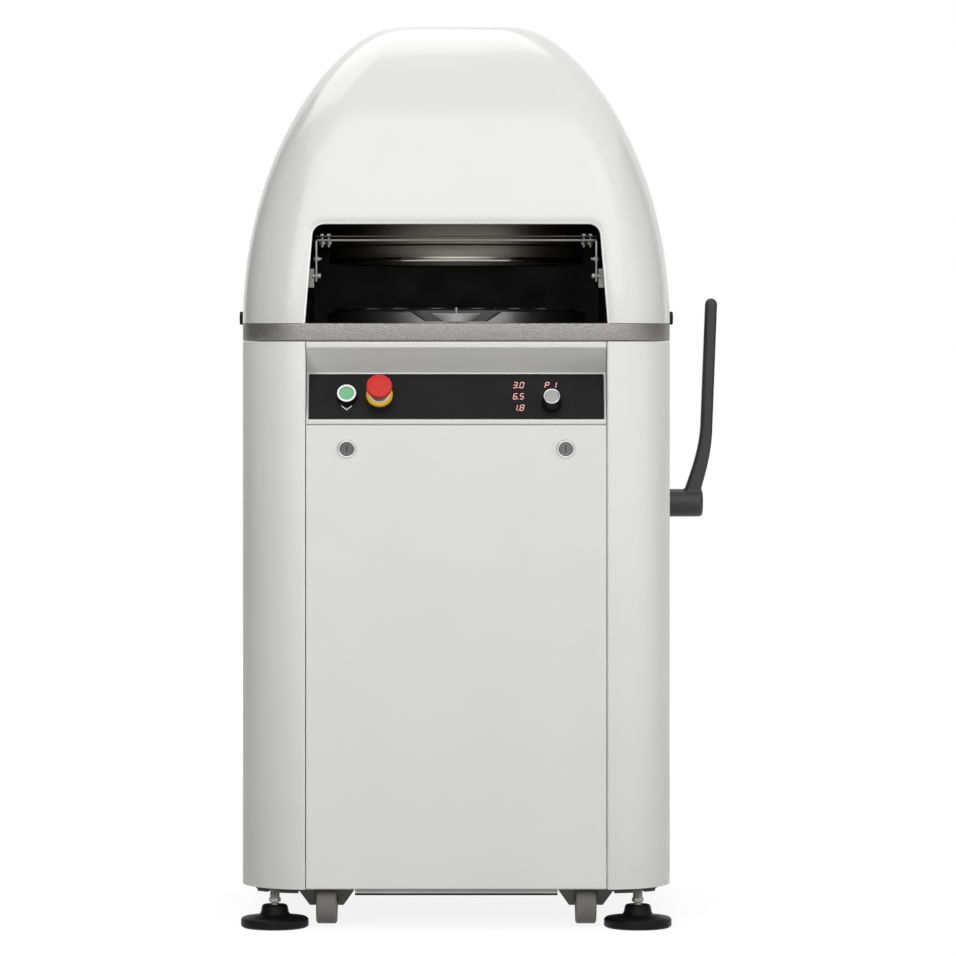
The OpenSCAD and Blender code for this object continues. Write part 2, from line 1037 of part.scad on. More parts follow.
// Chromed bezels of the two panel locks
module lock_bezels() {
    color(steel)
        for (s = [-1, 1])
            translate([s * lock_x, 0, lock_z])
                difference() {
                    union() {
                        y_bar(lock_ring_r, [front_y - lock_ring_t, front_y]);
                        y_bar(lock_barrel_r, [front_y, front_y + lock_barrel_l]);
                    }
                    y_bar(lock_core_r + fit, [front_y - lock_ring_t - cut, front_y + lock_barrel_l + cut]);
                }
}

// Core of one lock, with the tongue that holds behind the console's keeper
module lock_core() {
    face = front_y - lock_ring_t + lock_core_sink;
    tongue_y = keeper_y + sheet + seat;
    color(dark_steel)
        difference() {
            union() {
                y_bar(lock_core_r, [face, tongue_y + tongue_t]);
                block(
                    [-tongue_w / 2, tongue_w / 2],
                    [tongue_y, tongue_y + tongue_t],
                    [-tongue_down, tongue_up]
                );
            }
            block(
                [-lock_slot_w / 2, lock_slot_w / 2],
                [face - cut, face + lock_slot_d],
                [-lock_slot_l / 2, lock_slot_l / 2]
            );
        }
}

module left_lock() {
    translate([-lock_x, 0, lock_z])
        lock_core();
}

module right_lock() {
    translate([lock_x, 0, lock_z])
        lock_core();
}

// Cast table with a round opening for the plate carrier
module table_ring() {
    color(cast_grey)
        difference() {
            translate([0, 0, table_bottom])
                linear_extrude(height = table_t)
                    rounded_rect(body_w, body_d, corner_r);
            z_bar(table_opening_r, [table_bottom - cut, table_top + cut]);
        }
}

// Black sheet walls at both sides and behind the working space
module chamber_liner() {
    high = table_top + liner_h;
    outer = liner_half + liner_t;
    color(black_plastic) {
        both_sides()
            block([liner_half, outer], [front_y + liner_front_d, liner_back], [table_top, high]);
        block([-outer, outer], [liner_back - liner_t, liner_back], [table_top, high]);
    }
}

// Hollow column behind the liner and the bridge it carries
module rear_column() {
    back = rear_y - column_back_gap;
    inner_half = column_half_w - column_wall;
    color(cast_grey)
        difference() {
            block([-column_half_w, column_half_w], [column_front, back], [table_top, bridge_low]);
            block(
                [-inner_half, inner_half],
                [column_front + column_wall, back - column_wall],
                [table_top - cut, bridge_low + cut]
            );
        }
}

module head_bridge() {
    color(cast_grey)
        difference() {
            block(
                [-bridge_half_w, bridge_half_w],
                [bridge_front, rear_y - column_back_gap],
                [bridge_low, bridge_low + bridge_h]
            );
            z_bar(barrel_outer_r + seat, [bridge_low - cut, bridge_low + bridge_h + cut]);
        }
}

// Cylinder barrel with a gland for the ram and a flange on the bridge
module press_cylinder() {
    flange_low = bridge_low + bridge_h;
    color(steel)
        difference() {
            union() {
                z_bar(barrel_outer_r, [bridge_low, barrel_top]);
                z_bar(barrel_flange_r, [flange_low, flange_low + barrel_flange_t]);
            }
            z_bar(barrel_inner_r, [bridge_low + barrel_floor_t, barrel_top - barrel_cap_t]);
            z_bar(ram_r + fit, [bridge_low - cut, bridge_low + barrel_floor_t + cut]);
        }
}

// Ram with its piston and the flange on the press plate
module press_ram() {
    piston_high = barrel_top - barrel_cap_t - piston_gap;
    color(steel) {
        z_bar(ram_r, [press_plate_top, piston_high]);
        z_bar(barrel_inner_r - fit, [piston_high - piston_t, piston_high]);
        z_bar(ram_flange_r, [press_plate_top, press_plate_top + ram_flange_t]);
    }
}

// Places of the knife rods
module at_knife_rods() {
    for (i = [0 : knife_rod_count - 1])
        rotate(90 + i * 360 / knife_rod_count)
            translate([knife_rod_ring_r, 0, 0])
                children();
}

// Middle of every dough cell
module at_cells(radii) {
    for (band = [0 : len(cell_count) - 1], i = [0 : cell_count[band] - 1])
        rotate((i + 0.5) * 360 / cell_count[band])
            translate([radii[band], 0, 0])
                children();
}

// Radius at which a band's lines end: its outer edge, or the given reach in the last band
function cell_reach(band, reach) = band + 1 < len(cell_count) ? cell_edge[band + 1] : reach;

// Lines between the dough cells, drawn with the given width and ending at the given radius
module cell_lines(width, reach) {
    for (band = [1 : len(cell_count) - 1])
        difference() {
            circle(r = cell_edge[band] + width / 2);
            circle(r = cell_edge[band] - width / 2);
        }
    for (band = [0 : len(cell_count) - 1], i = [0 : cell_count[band] - 1])
        rotate(i * 360 / cell_count[band])
            translate([cell_edge[band], -width / 2])
                square([cell_reach(band, reach) - cell_edge[band], width]);
}

// Radii at which the stamp rods stand
function cell_middle(band) = (cell_edge[band] + cell_edge[band + 1]) / 2;
rod_radii = [for (band = [0 : len(cell_count) - 1]) cell_middle(band)];

// Press plate with thirty stamps hung on rods, and bores for the knife rods
module press_plate() {
    color(steel) {
        difference() {
            z_bar(ring_r, [ring_top, press_plate_top]);
            at_knife_rods()
                z_bar(knife_rod_r + fit, [ring_top - cut, press_plate_top + cut]);
        }
        at_cells(rod_radii)
            z_bar(stamp_rod_r, [stamp_high - rod_sink, ring_top + rod_sink]);
        translate([0, 0, stamp_low])
            linear_extrude(height = stamp_t)
                difference() {
                    circle(r = stamp_r);
                    cell_lines(blade_t + 2 * stamp_clear, stamp_r + cut);
                }
    }
}

// Stainless ring round the stamps, with a bead at its lower edge
module press_ring() {
    inner = ring_r - ring_wall;
    groove_low = ring_bottom + ring_groove_low;
    color(steel)
        rotate_extrude()
            polygon([
                [inner, ring_bottom],
                [ring_r + ring_bead / 2, ring_bottom],
                [ring_r + ring_bead, ring_bottom + ring_bead / 2],
                [ring_r + ring_bead, ring_bottom + ring_bead_h],
                [ring_r, ring_bottom + ring_bead_h + ring_bead],
                [ring_r, groove_low],
                [ring_r - ring_groove_d, groove_low + ring_groove_d],
                [ring_r - ring_groove_d, groove_low + ring_groove_h],
                [ring_r, groove_low + ring_groove_h + ring_groove_d],
                [ring_r, ring_top],
                [inner, ring_top]
            ]);
}

// Knife blades on their plate, with rods up to a yoke ring above the press plate
module knife_block() {
    plate_high = knife_plate_low + knife_plate_t;
    color(steel) {
        translate([0, 0, blade_low])
            linear_extrude(height = knife_plate_low - blade_low)
                cell_lines(blade_t, stamp_r);
        difference() {
            z_bar(knife_plate_r, [knife_plate_low, plate_high]);
            at_cells(rod_radii)
                z_bar(knife_rod_hole_r, [knife_plate_low - cut, plate_high + cut]);
        }
        at_knife_rods()
            z_bar(knife_rod_r, [plate_high, yoke_low]);
        z_tube(knife_rod_ring_r + yoke_half, knife_rod_ring_r - yoke_half, [yoke_low, yoke_low + yoke_t]);
    }
}

// Bracket plates on the liner walls, with the pins on which the bail swings
module guard_brackets() {
    arm_outer = guard_arm_x + guard_arm_t / 2 + seat;
    arm_inner = guard_arm_x - guard_arm_t / 2 - seat;
    color(steel)
        both_sides() {
            block(
                [liner_half - bracket_plate_t, liner_half],
                [bracket_face_y, bracket_face_y + bracket_back],
                [bracket_low, bracket_high]
            );
            block(
                [liner_half - bracket_reach, liner_half],
                [bracket_face_y, bracket_face_y + bracket_plate_t],
                [bracket_low, bracket_high]
            );
            translate([0, guard_y, guard_pivot_z]) {
                x_bar(guard_pin_r, [arm_inner - guard_spacer_t, liner_half]);
                x_bar(guard_spacer_r, [arm_outer, arm_outer + guard_spacer_t]);
                x_bar(guard_spacer_r, [arm_inner - guard_spacer_t, arm_inner]);
            }
        }
}

// Bail: two side arms, a lower strip across them, an upper strip held on four bolts, two stop screws
module guard_frame() {
    inner = guard_arm_x - guard_arm_t / 2;
    outer = guard_arm_x + guard_arm_t / 2;
    strip_top = guard_bar_z + guard_strip_t;
    top_strip = guard_bar_z + guard_top_strip_rise;
    bolt_top = top_strip + guard_top_strip_t;
    color(steel) {
        both_sides() {
            difference() {
                block(
                    [inner, outer],
                    [guard_y - guard_arm_half, guard_y + guard_arm_half],
                    [guard_pivot_z - guard_arm_below, strip_top]
                );
                translate([0, guard_y, guard_pivot_z])
                    x_bar(guard_pin_r + fit, [inner - cut, outer + cut]);
            }
            for (x = guard_bolt_x)
                translate([x, guard_y, 0]) {
                    z_bar(guard_bolt_r, [guard_bar_z - guard_nut_t, bolt_top]);
                    z_bar(guard_head_r, [bolt_top, bolt_top + guard_head_t]);
                    z_bar(guard_head_r, [guard_bar_z - guard_nut_t, guard_bar_z]);
                }
            translate([0, guard_y, guard_pivot_z + stop_screw_rise]) {
                x_bar(guard_head_r, [inner - guard_head_t, inner]);
                x_bar(guard_head_r, [outer, outer + guard_head_t]);
            }
        }
        block(
            [-outer, outer],
            [guard_y - guard_strip_half, guard_y + guard_strip_half],
            [guard_bar_z, strip_top]
        );
        block(
            [-outer, outer],
            [guard_y - guard_strip_half, guard_y + guard_strip_half],
            [top_strip, bolt_top]
        );
    }
}

// Slotted angle brackets inside the hood; the knobs' shanks lie in the open slots
module hood_brackets() {
    face = half_w - hood_bracket_inset;
    slot_z = table_top + knob_rise;
    color(steel)
        both_sides()
            translate([0, knob_y, 0])
                difference() {
                    union() {
                        block(
                            [face - hood_bracket_t, face],
                            [-hood_bracket_w / 2, hood_bracket_w / 2],
                            [table_top, table_top + hood_bracket_h]
                        );
                        block(
                            [face - hood_bracket_foot, face],
                            [-hood_bracket_w / 2, hood_bracket_w / 2],
                            [table_top, table_top + hood_bracket_t]
                        );
                    }
                    translate([0, 0, slot_z])
                        x_bar(knob_hole_r, [face - hood_bracket_t - cut, face + cut]);
                    block(
                        [face - hood_bracket_t - cut, face + cut],
                        [-knob_hole_r, knob_hole_r],
                        [slot_z, table_top + hood_bracket_h + cut]
                    );
                }
}

// Clamp knob of the hood on the right side, with its shank and inner collar
module hood_knob() {
    shank_end = half_w - knob_shank_l;
    color(black_plastic)
        translate([0, knob_y, table_top + knob_rise]) {
            x_bar(knob_r, [half_w + seat, half_w + seat + knob_t]);
            x_bar(knob_shank_r, [shank_end, half_w + seat]);
            x_bar(knob_collar_r, [shank_end, shank_end + knob_collar_t]);
        }
}

module right_hood_knob() {
    hood_knob();
}

module left_hood_knob() {
    mirror([1, 0, 0])
        hood_knob();
}

// Bell of the hood: shares of its height and of its spread at angle a, from 0 at the table to 90 at the top
function bell_rise(a) = pow(sin(a), 2 / hood_rise_power);
function bell_spread(a) = pow(max(0, cos(a)), 2 / hood_side_power);
function back_spread(a) =
    pow(max(0, 1 - pow(bell_rise(a), hood_back_power)), 1 / hood_back_round_power);

// Outline of the bell at angle a, drawn in by the given inset, as points in three dimensions
function bell_outline(a, inset) =
    let (
        half = hood_top_half + (half_w - hood_top_half) * bell_spread(a),
        front = hood_top_front + (rear_y - hood_top_front) * bell_spread(a),
        back = hood_top_back + (rear_y - hood_top_back) * back_spread(a),
        r = min(corner_r, half * hood_corner_share) - inset,
        x = half - inset - r,
        y_low = -front + inset + r,
        y_high = back - inset - r,
        z = table_top + (hood_h - inset) * bell_rise(a),
        middles = [[x, y_low, -90], [x, y_high, 0], [-x, y_high, 90], [-x, y_low, 180]]
    )
    [
        for (m = middles, i = [0 : hood_corner_steps])
            let (turn = m[2] + 90 * i / hood_corner_steps)
            [m[0] + r * cos(turn), m[1] + r * sin(turn), z]
    ];

// Faces of a closed double wall built from outlines of n points: outer levels first, then inner levels
module bell() {
    n = 4 * (hood_corner_steps + 1);
    inner_start = n * (hood_levels + 1);
    points = [
        for (inset = [0, hood_wall], level = [0 : hood_levels])
            each bell_outline(90 * level / hood_levels, inset)
    ];
    sides = [
        for (level = [0 : hood_levels - 1], j = [0 : n - 1])
            let (
                a = level * n + j,
                b = level * n + (j + 1) % n,
                c = b + n,
                d = a + n
            )
            each [
                [a, d, c],
                [a, c, b],
                [inner_start + a, inner_start + c, inner_start + d],
                [inner_start + a, inner_start + b, inner_start + c]
            ]
    ];
    rims = [
        for (j = [0 : n - 1])
            let (k = (j + 1) % n)
            each [
                [j, k, inner_start + k],
                [j, inner_start + k, inner_start + j]
            ]
    ];
    caps = [
        [for (j = [n - 1 : -1 : 0]) hood_levels * n + j],
        [for (j = [0 : n - 1]) inner_start + hood_levels * n + j]
    ];
    polyhedron(points = points, faces = concat(sides, rims, caps));
}

// Half width of the throat at a height above the table
function throat_half(z) = throat_w / 2 - throat_lean * z / throat_h;

// Throat outline above the table, with two round upper corners
module throat_outline() {
    r = throat_corner_r;
    corner_z = throat_h - r;
    corner_x = throat_half(corner_z) - r / cos(throat_lean_angle);
    touch_z = corner_z + r * sin(throat_lean_angle);
    polygon([
        [-throat_half(-cut), -cut],
        [throat_half(-cut), -cut],
        [throat_half(touch_z), touch_z],
        [-throat_half(touch_z), touch_z]
    ]);
    translate([-corner_x, corner_z])
        square([2 * corner_x, r]);
    for (s = [-1, 1])
        translate([s * corner_x, corner_z])
            circle(r = r);
}

module hood_shell() {
    color(white_paint)
        difference() {
            bell();
            translate([0, 0, table_top])
                sweep_y([front_y - cut, 0])
                    throat_outline();
            both_sides()
                translate([0, knob_y, table_top + knob_rise])
                    x_bar(knob_hole_r, [half_w - 2 * hood_wall, half_w + cut]);
        }
}

// Middle line of the lever's bent part, at a share u of its way
function lever_curve(u) =
    pow(1 - u, 3) * lever_root
    + 3 * pow(1 - u, 2) * u * lever_root_handle
    + 3 * (1 - u) * u * u * lever_bend_handle
    + pow(u, 3) * lever_bend;

function lever_slope(u) =
    3 * pow(1 - u, 2) * (lever_root_handle - lever_root)
    + 6 * (1 - u) * u * (lever_bend_handle - lever_root_handle)
    + 3 * u * u * (lever_bend - lever_bend_handle);

function side_of(v) = [v[1], -v[0]] / norm(v);
function lever_half(u) = lever_root_half + (lever_grip_w / 2 - lever_root_half) * u;

// Lever arm seen from the front: one edge up, round the tip, the other edge down
module lever_outline() {
    tip = [lever_tip_x, lever_l - lever_grip_w / 2];
    grip_turn = atan2(tip[1] - lever_bend[1], tip[0] - lever_bend[0]);
    bent = [for (i = [0 : lever_bend_steps]) i / lever_bend_steps];
    right_edge = [for (u = bent) lever_curve(u) + lever_half(u) * side_of(lever_slope(u))];
    left_edge = [
        for (i = [lever_bend_steps : -1 : 0])
            lever_curve(bent[i]) - lever_half(bent[i]) * side_of(lever_slope(bent[i]))
    ];
    tip_arc = [
        for (i = [0 : lever_tip_steps])
            let (turn = grip_turn - 90 + 180 * i / lever_tip_steps)
            tip + lever_grip_w / 2 * [cos(turn), sin(turn)]
    ];
    polygon(concat(right_edge, tip_arc, left_edge));
}

module lever_arm() {
    color(black_plastic)
        translate([half_w, lever_y, lever_z])
            difference() {
                union() {
                    x_bar(lever_boss_r, [lever_boss_start, lever_boss_end]);
                    sweep_y([-lever_grip_d / 2, lever_grip_d / 2])
                        lever_outline();
                }
                x_bar(shaft_r + fit, [lever_boss_start - cut, shaft_outer + seat]);
            }
}

// Shaft through the side panel, with a crank disc and pin for the valve
module lever_shaft() {
    color(steel)
        translate([half_w, lever_y, lever_z]) {
            x_bar(shaft_r, [shaft_inner, shaft_outer]);
            x_bar(crank_disc_r, [shaft_inner, shaft_inner + crank_disc_t]);
            rotate([-lever_pull / 2, 0, 0])
                translate([0, 0, -crank_r])
                    x_bar(crank_pin_r, [shaft_inner - crank_pin_l, shaft_inner + cut]);
        }
}

// Flanged bush of the lever shaft in the right side panel
module lever_bush() {
    color(steel)
        translate([half_w, lever_y, lever_z])
            difference() {
                union() {
                    x_bar(bush_sleeve_r, [bush_inner, bush_outer]);
                    x_bar(bush_flange_r, [-sheet - bush_flange_t, -sheet]);
                }
                x_bar(shaft_r + fit, [bush_inner - cut, bush_outer + cut]);
            }
}

// Hydraulic valve on the oil tank, bored for its spool
module valve_block() {
    color(cast_grey)
        difference() {
            block(
                [valve_x - valve_half, valve_x + valve_half],
                [valve_front, valve_back],
                [spool_z - valve_below, spool_z + valve_above]
            );
            translate([valve_x, 0, spool_z])
                y_bar(spool_r + fit, [valve_front - cut, valve_back + cut]);
        }
}

// Spool with the slotted yoke that the crank pin drives
module valve_spool() {
    yoke_right = half_w + shaft_inner - yoke_end_gap;
    slot_left = half_w + shaft_inner - crank_pin_l - yoke_end_gap;
    slot_half_d = crank_pin_r + yoke_slot_clear;
    slot_half_h = crank_pin_r + yoke_slot_spare;
    color(steel)
        translate([0, 0, spool_z]) {
            translate([valve_x, 0, 0])
                y_bar(spool_r, [pin_rest_y, valve_back - spool_end]);
            difference() {
                block(
                    [valve_x - spool_r, yoke_right],
                    [pin_rest_y - yoke_plate_half_d, pin_rest_y + yoke_plate_half_d],
                    [-yoke_plate_half_h, yoke_plate_half_h]
                );
                block(
                    [slot_left, yoke_right + cut],
                    [pin_rest_y - slot_half_d, pin_rest_y + slot_half_d],
                    [-slot_half_h, slot_half_h]
                );
            }
        }
}

// Oil tank that carries the valve, and the pump motor beside it
module hydraulic_unit() {
    right = half_w - tank_side_gap;
    left = right - tank_w;
    color(dark_steel) {
        block([left, right], [-tank_half_d, tank_half_d], [base_top, tank_top]);
        translate([left - pump_gap - pump_r, 0, 0])
            z_bar(pump_r, [base_top, base_top + pump_h]);
    }
}

// Cast bed between the posts with bearings for the three cranks; open at the front for the console
module bearing_bed() {
    color(cast_grey)
        difference() {
            union() {
                difference() {
                    block([-bed_half_w, bed_half_w], [-bed_half_d, bed_half_d], [bed_bottom, bed_top]);
                    block(
                        [-bed_cut_half, bed_cut_half],
                        [-bed_half_d - cut, bed_cut_back],
                        [bed_bottom - cut, bed_top + cut]
                    );
                }
                translate([0, orbit_r, 0])
                    z_bar(main_boss_r, [bed_bottom - main_boss_l, bed_bottom]);
                for (s = [-1, 1])
                    translate([s * side_crank_x, side_crank_y + orbit_r, 0])
                        z_bar(side_boss_r, [bed_bottom - side_boss_l, bed_bottom]);
            }
            translate([0, orbit_r, 0])
                z_bar(main_shaft_r + fit, [bed_bottom - main_boss_l - cut, bed_top + cut]);
            for (s = [-1, 1])
                translate([s * side_crank_x, side_crank_y + orbit_r, 0])
                    z_bar(side_shaft_r + fit, [bed_bottom - side_boss_l - cut, bed_top + cut]);
        }
}

// Pulley with one flat groove, its belt running at radius r
module pulley(r) {
    groove_low = pulley_bottom + (pulley_t - pulley_groove) / 2;
    difference() {
        z_bar(r + pulley_flange, [pulley_bottom, pulley_top]);
        z_tube(r + pulley_flange + cut, r, [groove_low, groove_low + pulley_groove]);
    }
}

// Main crank: shaft, driven pulley, disc and the pin under the carrier's middle
module main_crank() {
    disc_low = bed_top + crank_gap;
    disc_high = disc_low + main_disc_t;
    color(steel) {
        translate([0, orbit_r, 0]) {
            z_bar(main_shaft_r, [pulley_bottom - shaft_tail, disc_low]);
            pulley(driven_r);
            z_bar(main_disc_r, [disc_low, disc_high]);
        }
        z_bar(main_pin_r, [disc_high, pin_top]);
    }
}

// Side crank that keeps the carrier from turning
module side_crank(x) {
    disc_low = bed_top + crank_gap;
    disc_high = disc_low + side_disc_t;
    color(steel)
        translate([x, side_crank_y, 0]) {
            translate([0, orbit_r, 0]) {
                z_bar(side_shaft_r, [bed_bottom - side_boss_l - shaft_tail, disc_low]);
                z_bar(side_disc_r, [disc_low, disc_high]);
            }
            z_bar(side_pin_r, [disc_high, pin_top]);
        }
}

module left_crank() {
    side_crank(-side_crank_x);
}

module right_crank() {
    side_crank(side_crank_x);
}

// Pan that carries the moulding plate, with three hubs below and a finger notch in its front rim
module plate_carrier() {
    main_hub_low = bed_top + crank_gap + main_disc_t + hub_gap;
    side_hub_low = bed_top + crank_gap + side_disc_t + hub_gap;
    bore_top = pin_top + cut;
    notch_floor = rim_top - notch_d;
    color(dark_steel)
        difference() {
            union() {
                z_bar(carrier_r, [pan_bottom, rim_top]);
                z_bar(main_hub_r, [main_hub_low, pan_bottom]);
                for (s = [-1, 1])
                    translate([s * side_crank_x, side_crank_y, 0])
                        z_bar(side_hub_r, [side_hub_low, pan_bottom]);
            }
            z_bar(carrier_r - rim_t, [pan_bottom + pan_t, rim_top + cut]);
            sweep_y([-carrier_r - cut, -carrier_r + 2 * rim_t + grip_d])
                polygon([
                    [-notch_low_half, notch_floor],
                    [notch_low_half, notch_floor],
                    [notch_top_half, rim_top],
                    [notch_top_half, rim_top + cut],
                    [-notch_top_half, rim_top + cut],
                    [-notch_top_half, rim_top]
                ]);
            z_bar(main_pin_r + fit, [main_hub_low - cut, bore_top]);
            for (s = [-1, 1])
                translate([s * side_crank_x, side_crank_y, 0])
                    z_bar(side_pin_r + fit, [side_hub_low - cut, bore_top]);
        }
}

// Moulding plate with thirty shallow pockets inside raised rims
module moulding_plate() {
    low = pan_bottom + pan_t;
    high = low + plate_t;
    rim_high = high + pocket_rim_h;
    color(black_plastic)
        difference() {
            union() {
                z_bar(plate_r, [low, high]);
                at_cells(pocket_ring_r)
                    z_bar(pocket_r + pocket_wall, [low + plate_t / 2, rim_high]);
            }
            at_cells(pocket_ring_r)
                z_bar(pocket_r, [rim_high - pocket_depth, rim_high + cut]);
        }
}

// Light grip that stands in the carrier's notch, with a small upright pin
module plate_grip() {
    low = rim_top - notch_d;
    high = low + grip_h;
    color(white_paint) {
        sweep_y([-grip_front, -grip_front + grip_d])
            polygon([
                [-grip_low_half, low],
                [grip_low_half, low],
                [grip_top_half, high],
                [-grip_top_half, high]
            ]);
        translate([0, -grip_front + grip_d / 2, 0])
            z_bar(grip_pin_r, [high, high + grip_pin_l]);
    }
}

// Rounding motor on its plate, hung from the bed by four posts
module rounding_motor() {
    plate_low = motor_plate_top - motor_plate_t;
    color(dark_steel)
        translate([motor_x, motor_y, 0])
            difference() {
                union() {
                    z_bar(motor_r, [plate_low - motor_h, plate_low]);
                    block(
                        [-motor_plate_half, motor_plate_half],
                        [-motor_plate_half, motor_plate_half],
                        [plate_low, motor_plate_top]
                    );
                    at_corners(motor_post_off, motor_post_off)
                        z_bar(motor_post_r, [motor_plate_top, bed_bottom]);
                }
                z_bar(rotor_r + fit, [motor_plate_top - rotor_l, motor_plate_top + cut]);
            }
}

module motor_pulley() {
    color(steel)
        translate([motor_x, motor_y, 0]) {
            z_bar(rotor_r, [motor_plate_top - rotor_l + cut, pulley_top]);
            pulley(motor_pulley_r);
        }
}

// Area inside two circles and their outer tangents, the first at the origin and the second at d along X
module belt_area(r1, r2, d) {
    hull() {
        circle(r = r1);
        translate([d, 0])
            circle(r = r2);
    }
}

// Belt round both pulleys
module drive_belt() {
    inner_1 = driven_r + seat;
    inner_2 = motor_pulley_r + seat;
    span_x = motor_x;
    span_y = motor_y - orbit_r;
    span = sqrt(span_x * span_x + span_y * span_y);
    color(black_plastic)
        translate([0, orbit_r, (pulley_bottom + pulley_top - belt_h) / 2])
            rotate(atan2(span_y, span_x))
                linear_extrude(height = belt_h)
                    difference() {
                        belt_area(inner_1 + belt_t, inner_2 + belt_t, span);
                        belt_area(inner_1, inner_2, span);
                    }
}

// Side view of a castor leg as [y, z], narrowing towards the axle
module fork_leg_side() {
    low = wheel_z - fork_leg_drop;
    high = base_bottom - fork_plate_t;
    polygon([
        [-fork_leg_low_half_d, low],
        [fork_leg_low_half_d, low],
        [fork_leg_top_half_d, high],
        [-fork_leg_top_half_d, high]
    ]);
}

// Front view of a castor leg as [x, z]: solid beside the wheel, flared outside up to the cabinet's lower edge
module fork_leg_front() {
    low = wheel_z - fork_leg_drop;
    flare = panel_bottom - fork_flare_drop;
    web = panel_bottom + fork_web_rise;
    high = base_bottom - fork_plate_t;
    polygon([
        [fork_inner, low],
        [fork_inner + fork_toe_w, low],
        [fork_plate_half_w, flare],
        [fork_plate_half_w, high],
        [fork_plate_half_w - fork_t, high],
        [fork_plate_half_w - fork_t, web],
        [fork_inner, web]
    ]);
}

// Fixed castor fork with its axle pin
module castor_fork() {
    reach = fork_inner + fork_toe_w;
    difference() {
        union() {
            block(
                [-fork_plate_half_w, fork_plate_half_w],
                [-fork_plate_half_d, fork_plate_half_d],
                [base_bottom - fork_plate_t, base_bottom]
            );
            both_sides()
                intersection() {
                    sweep_y([-fork_plate_half_d, fork_plate_half_d])
                        fork_leg_front();
                    sweep_x([0, fork_plate_half_w])
                        fork_leg_side();
                }
        }
        translate([0, 0, wheel_z])
            x_bar(axle_r + fit, [-fork_plate_half_w, fork_plate_half_w]);
    }
    translate([0, 0, wheel_z])
        x_bar(axle_r, [-reach, reach]);
}

module castor_forks() {
    color(dark_steel)
        at_corners(castor_x, castor_y)
            castor_fork();
}

// Castor wheel with bevelled edges, dished sides and a bore
module wheel() {
    half = wheel_w / 2;
    bore = axle_r + fit;
    color([0.43, 0.43, 0.41])
        translate([0, 0, wheel_z])
            rotate([0, 90, 0])
                rotate_extrude()
                    polygon([
                        [bore, -half],
                        [2 * axle_r, -half],
                        [2 * axle_r, -half + wheel_dish_d],
                        [wheel_dish_r, -half + wheel_dish_d],
                        [wheel_dish_r, -half],
                        [wheel_r - wheel_edge, -half],
                        [wheel_r, -half + wheel_edge],
                        [wheel_r, half - wheel_edge],
                        [wheel_r - wheel_edge, half],
                        [wheel_dish_r, half],
                        [wheel_dish_r, half - wheel_dish_d],
                        [2 * axle_r, half - wheel_dish_d],
                        [2 * axle_r, half],
                        [bore, half]
                    ]);
}

module front_left_wheel() {
    translate([-castor_x, -castor_y, 0])
        wheel();
}

module front_right_wheel() {
    translate([castor_x, -castor_y, 0])
        wheel();
}

module rear_left_wheel() {
    translate([-castor_x, castor_y, 0])
        wheel();
}

module rear_right_wheel() {
    translate([castor_x, castor_y, 0])
        wheel();
}

// Levelling foot: black pad and threaded spindle with its hexagon
module foot() {
    socket_r = spindle_r + seat;
    color(black_plastic)
        rotate_extrude()
            polygon([
                [0, 0],
                [pad_r - pad_edge, 0],
                [pad_r, pad_edge],
                [pad_r, pad_rim_h],
                [pad_r - pad_edge, pad_rim_h + pad_edge],
                [pad_neck_r + pad_edge, pad_shoulder_h],
                [pad_neck_r, pad_neck_h],
                [pad_neck_r, pad_h],
                [socket_r, pad_h],
                [socket_r, spindle_foot_h - seat],
                [0, spindle_foot_h - seat]
            ]);
    color(steel) {
        z_bar(spindle_r, [spindle_foot_h, spindle_top]);
        translate([0, 0, pad_h + foot_nut_gap])
            cylinder(r = foot_nut_r, h = foot_nut_h, $fn = 6);
    }
}

module front_left_foot() {
    translate([-foot_x, -foot_y, 0])
        foot();
}

module front_right_foot() {
    translate([foot_x, -foot_y, 0])
        foot();
}

module rear_left_foot() {
    translate([-foot_x, foot_y, 0])
        foot();
}

module rear_right_foot() {
    translate([foot_x, foot_y, 0])
        foot();
}

base_frame();
corner_posts();
left_side_panel();
right_side_panel();
front_service_panel();
rear_panel();
cable_gland();
console_housing();
control_fascia();
electrical_units();
start_button_bezel();
estop_collar();
lock_bezels();
table_ring();
chamber_liner();
rear_column();
head_bridge();
press_cylinder();
guard_brackets();
hood_brackets();
lever_bush();
valve_block();
hydraulic_unit();
bearing_bed();
rounding_motor();
drive_belt();
castor_forks();
hood_shell();
left_hood_knob();
right_hood_knob();
lever_arm();
lever_shaft();
valve_spool();
start_button();
estop_stem();
estop_head();
selector_knob();
selector_cap();
left_lock();
right_lock();
guard_frame();
press_ram();
press_plate();
press_ring();
knife_block();
main_crank();
left_crank();
right_crank();
plate_carrier();
moulding_plate();
plate_grip();
motor_pulley();
front_left_wheel();
front_right_wheel();
rear_left_wheel();
rear_right_wheel();
front_left_foot();
front_right_foot();
rear_left_foot();
rear_right_foot();
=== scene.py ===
"""Looks of a dough divider rounder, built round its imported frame. Metres, in the frame of the solids."""

import json
import math

import bmesh
import bpy
from mathutils import Matrix, Vector


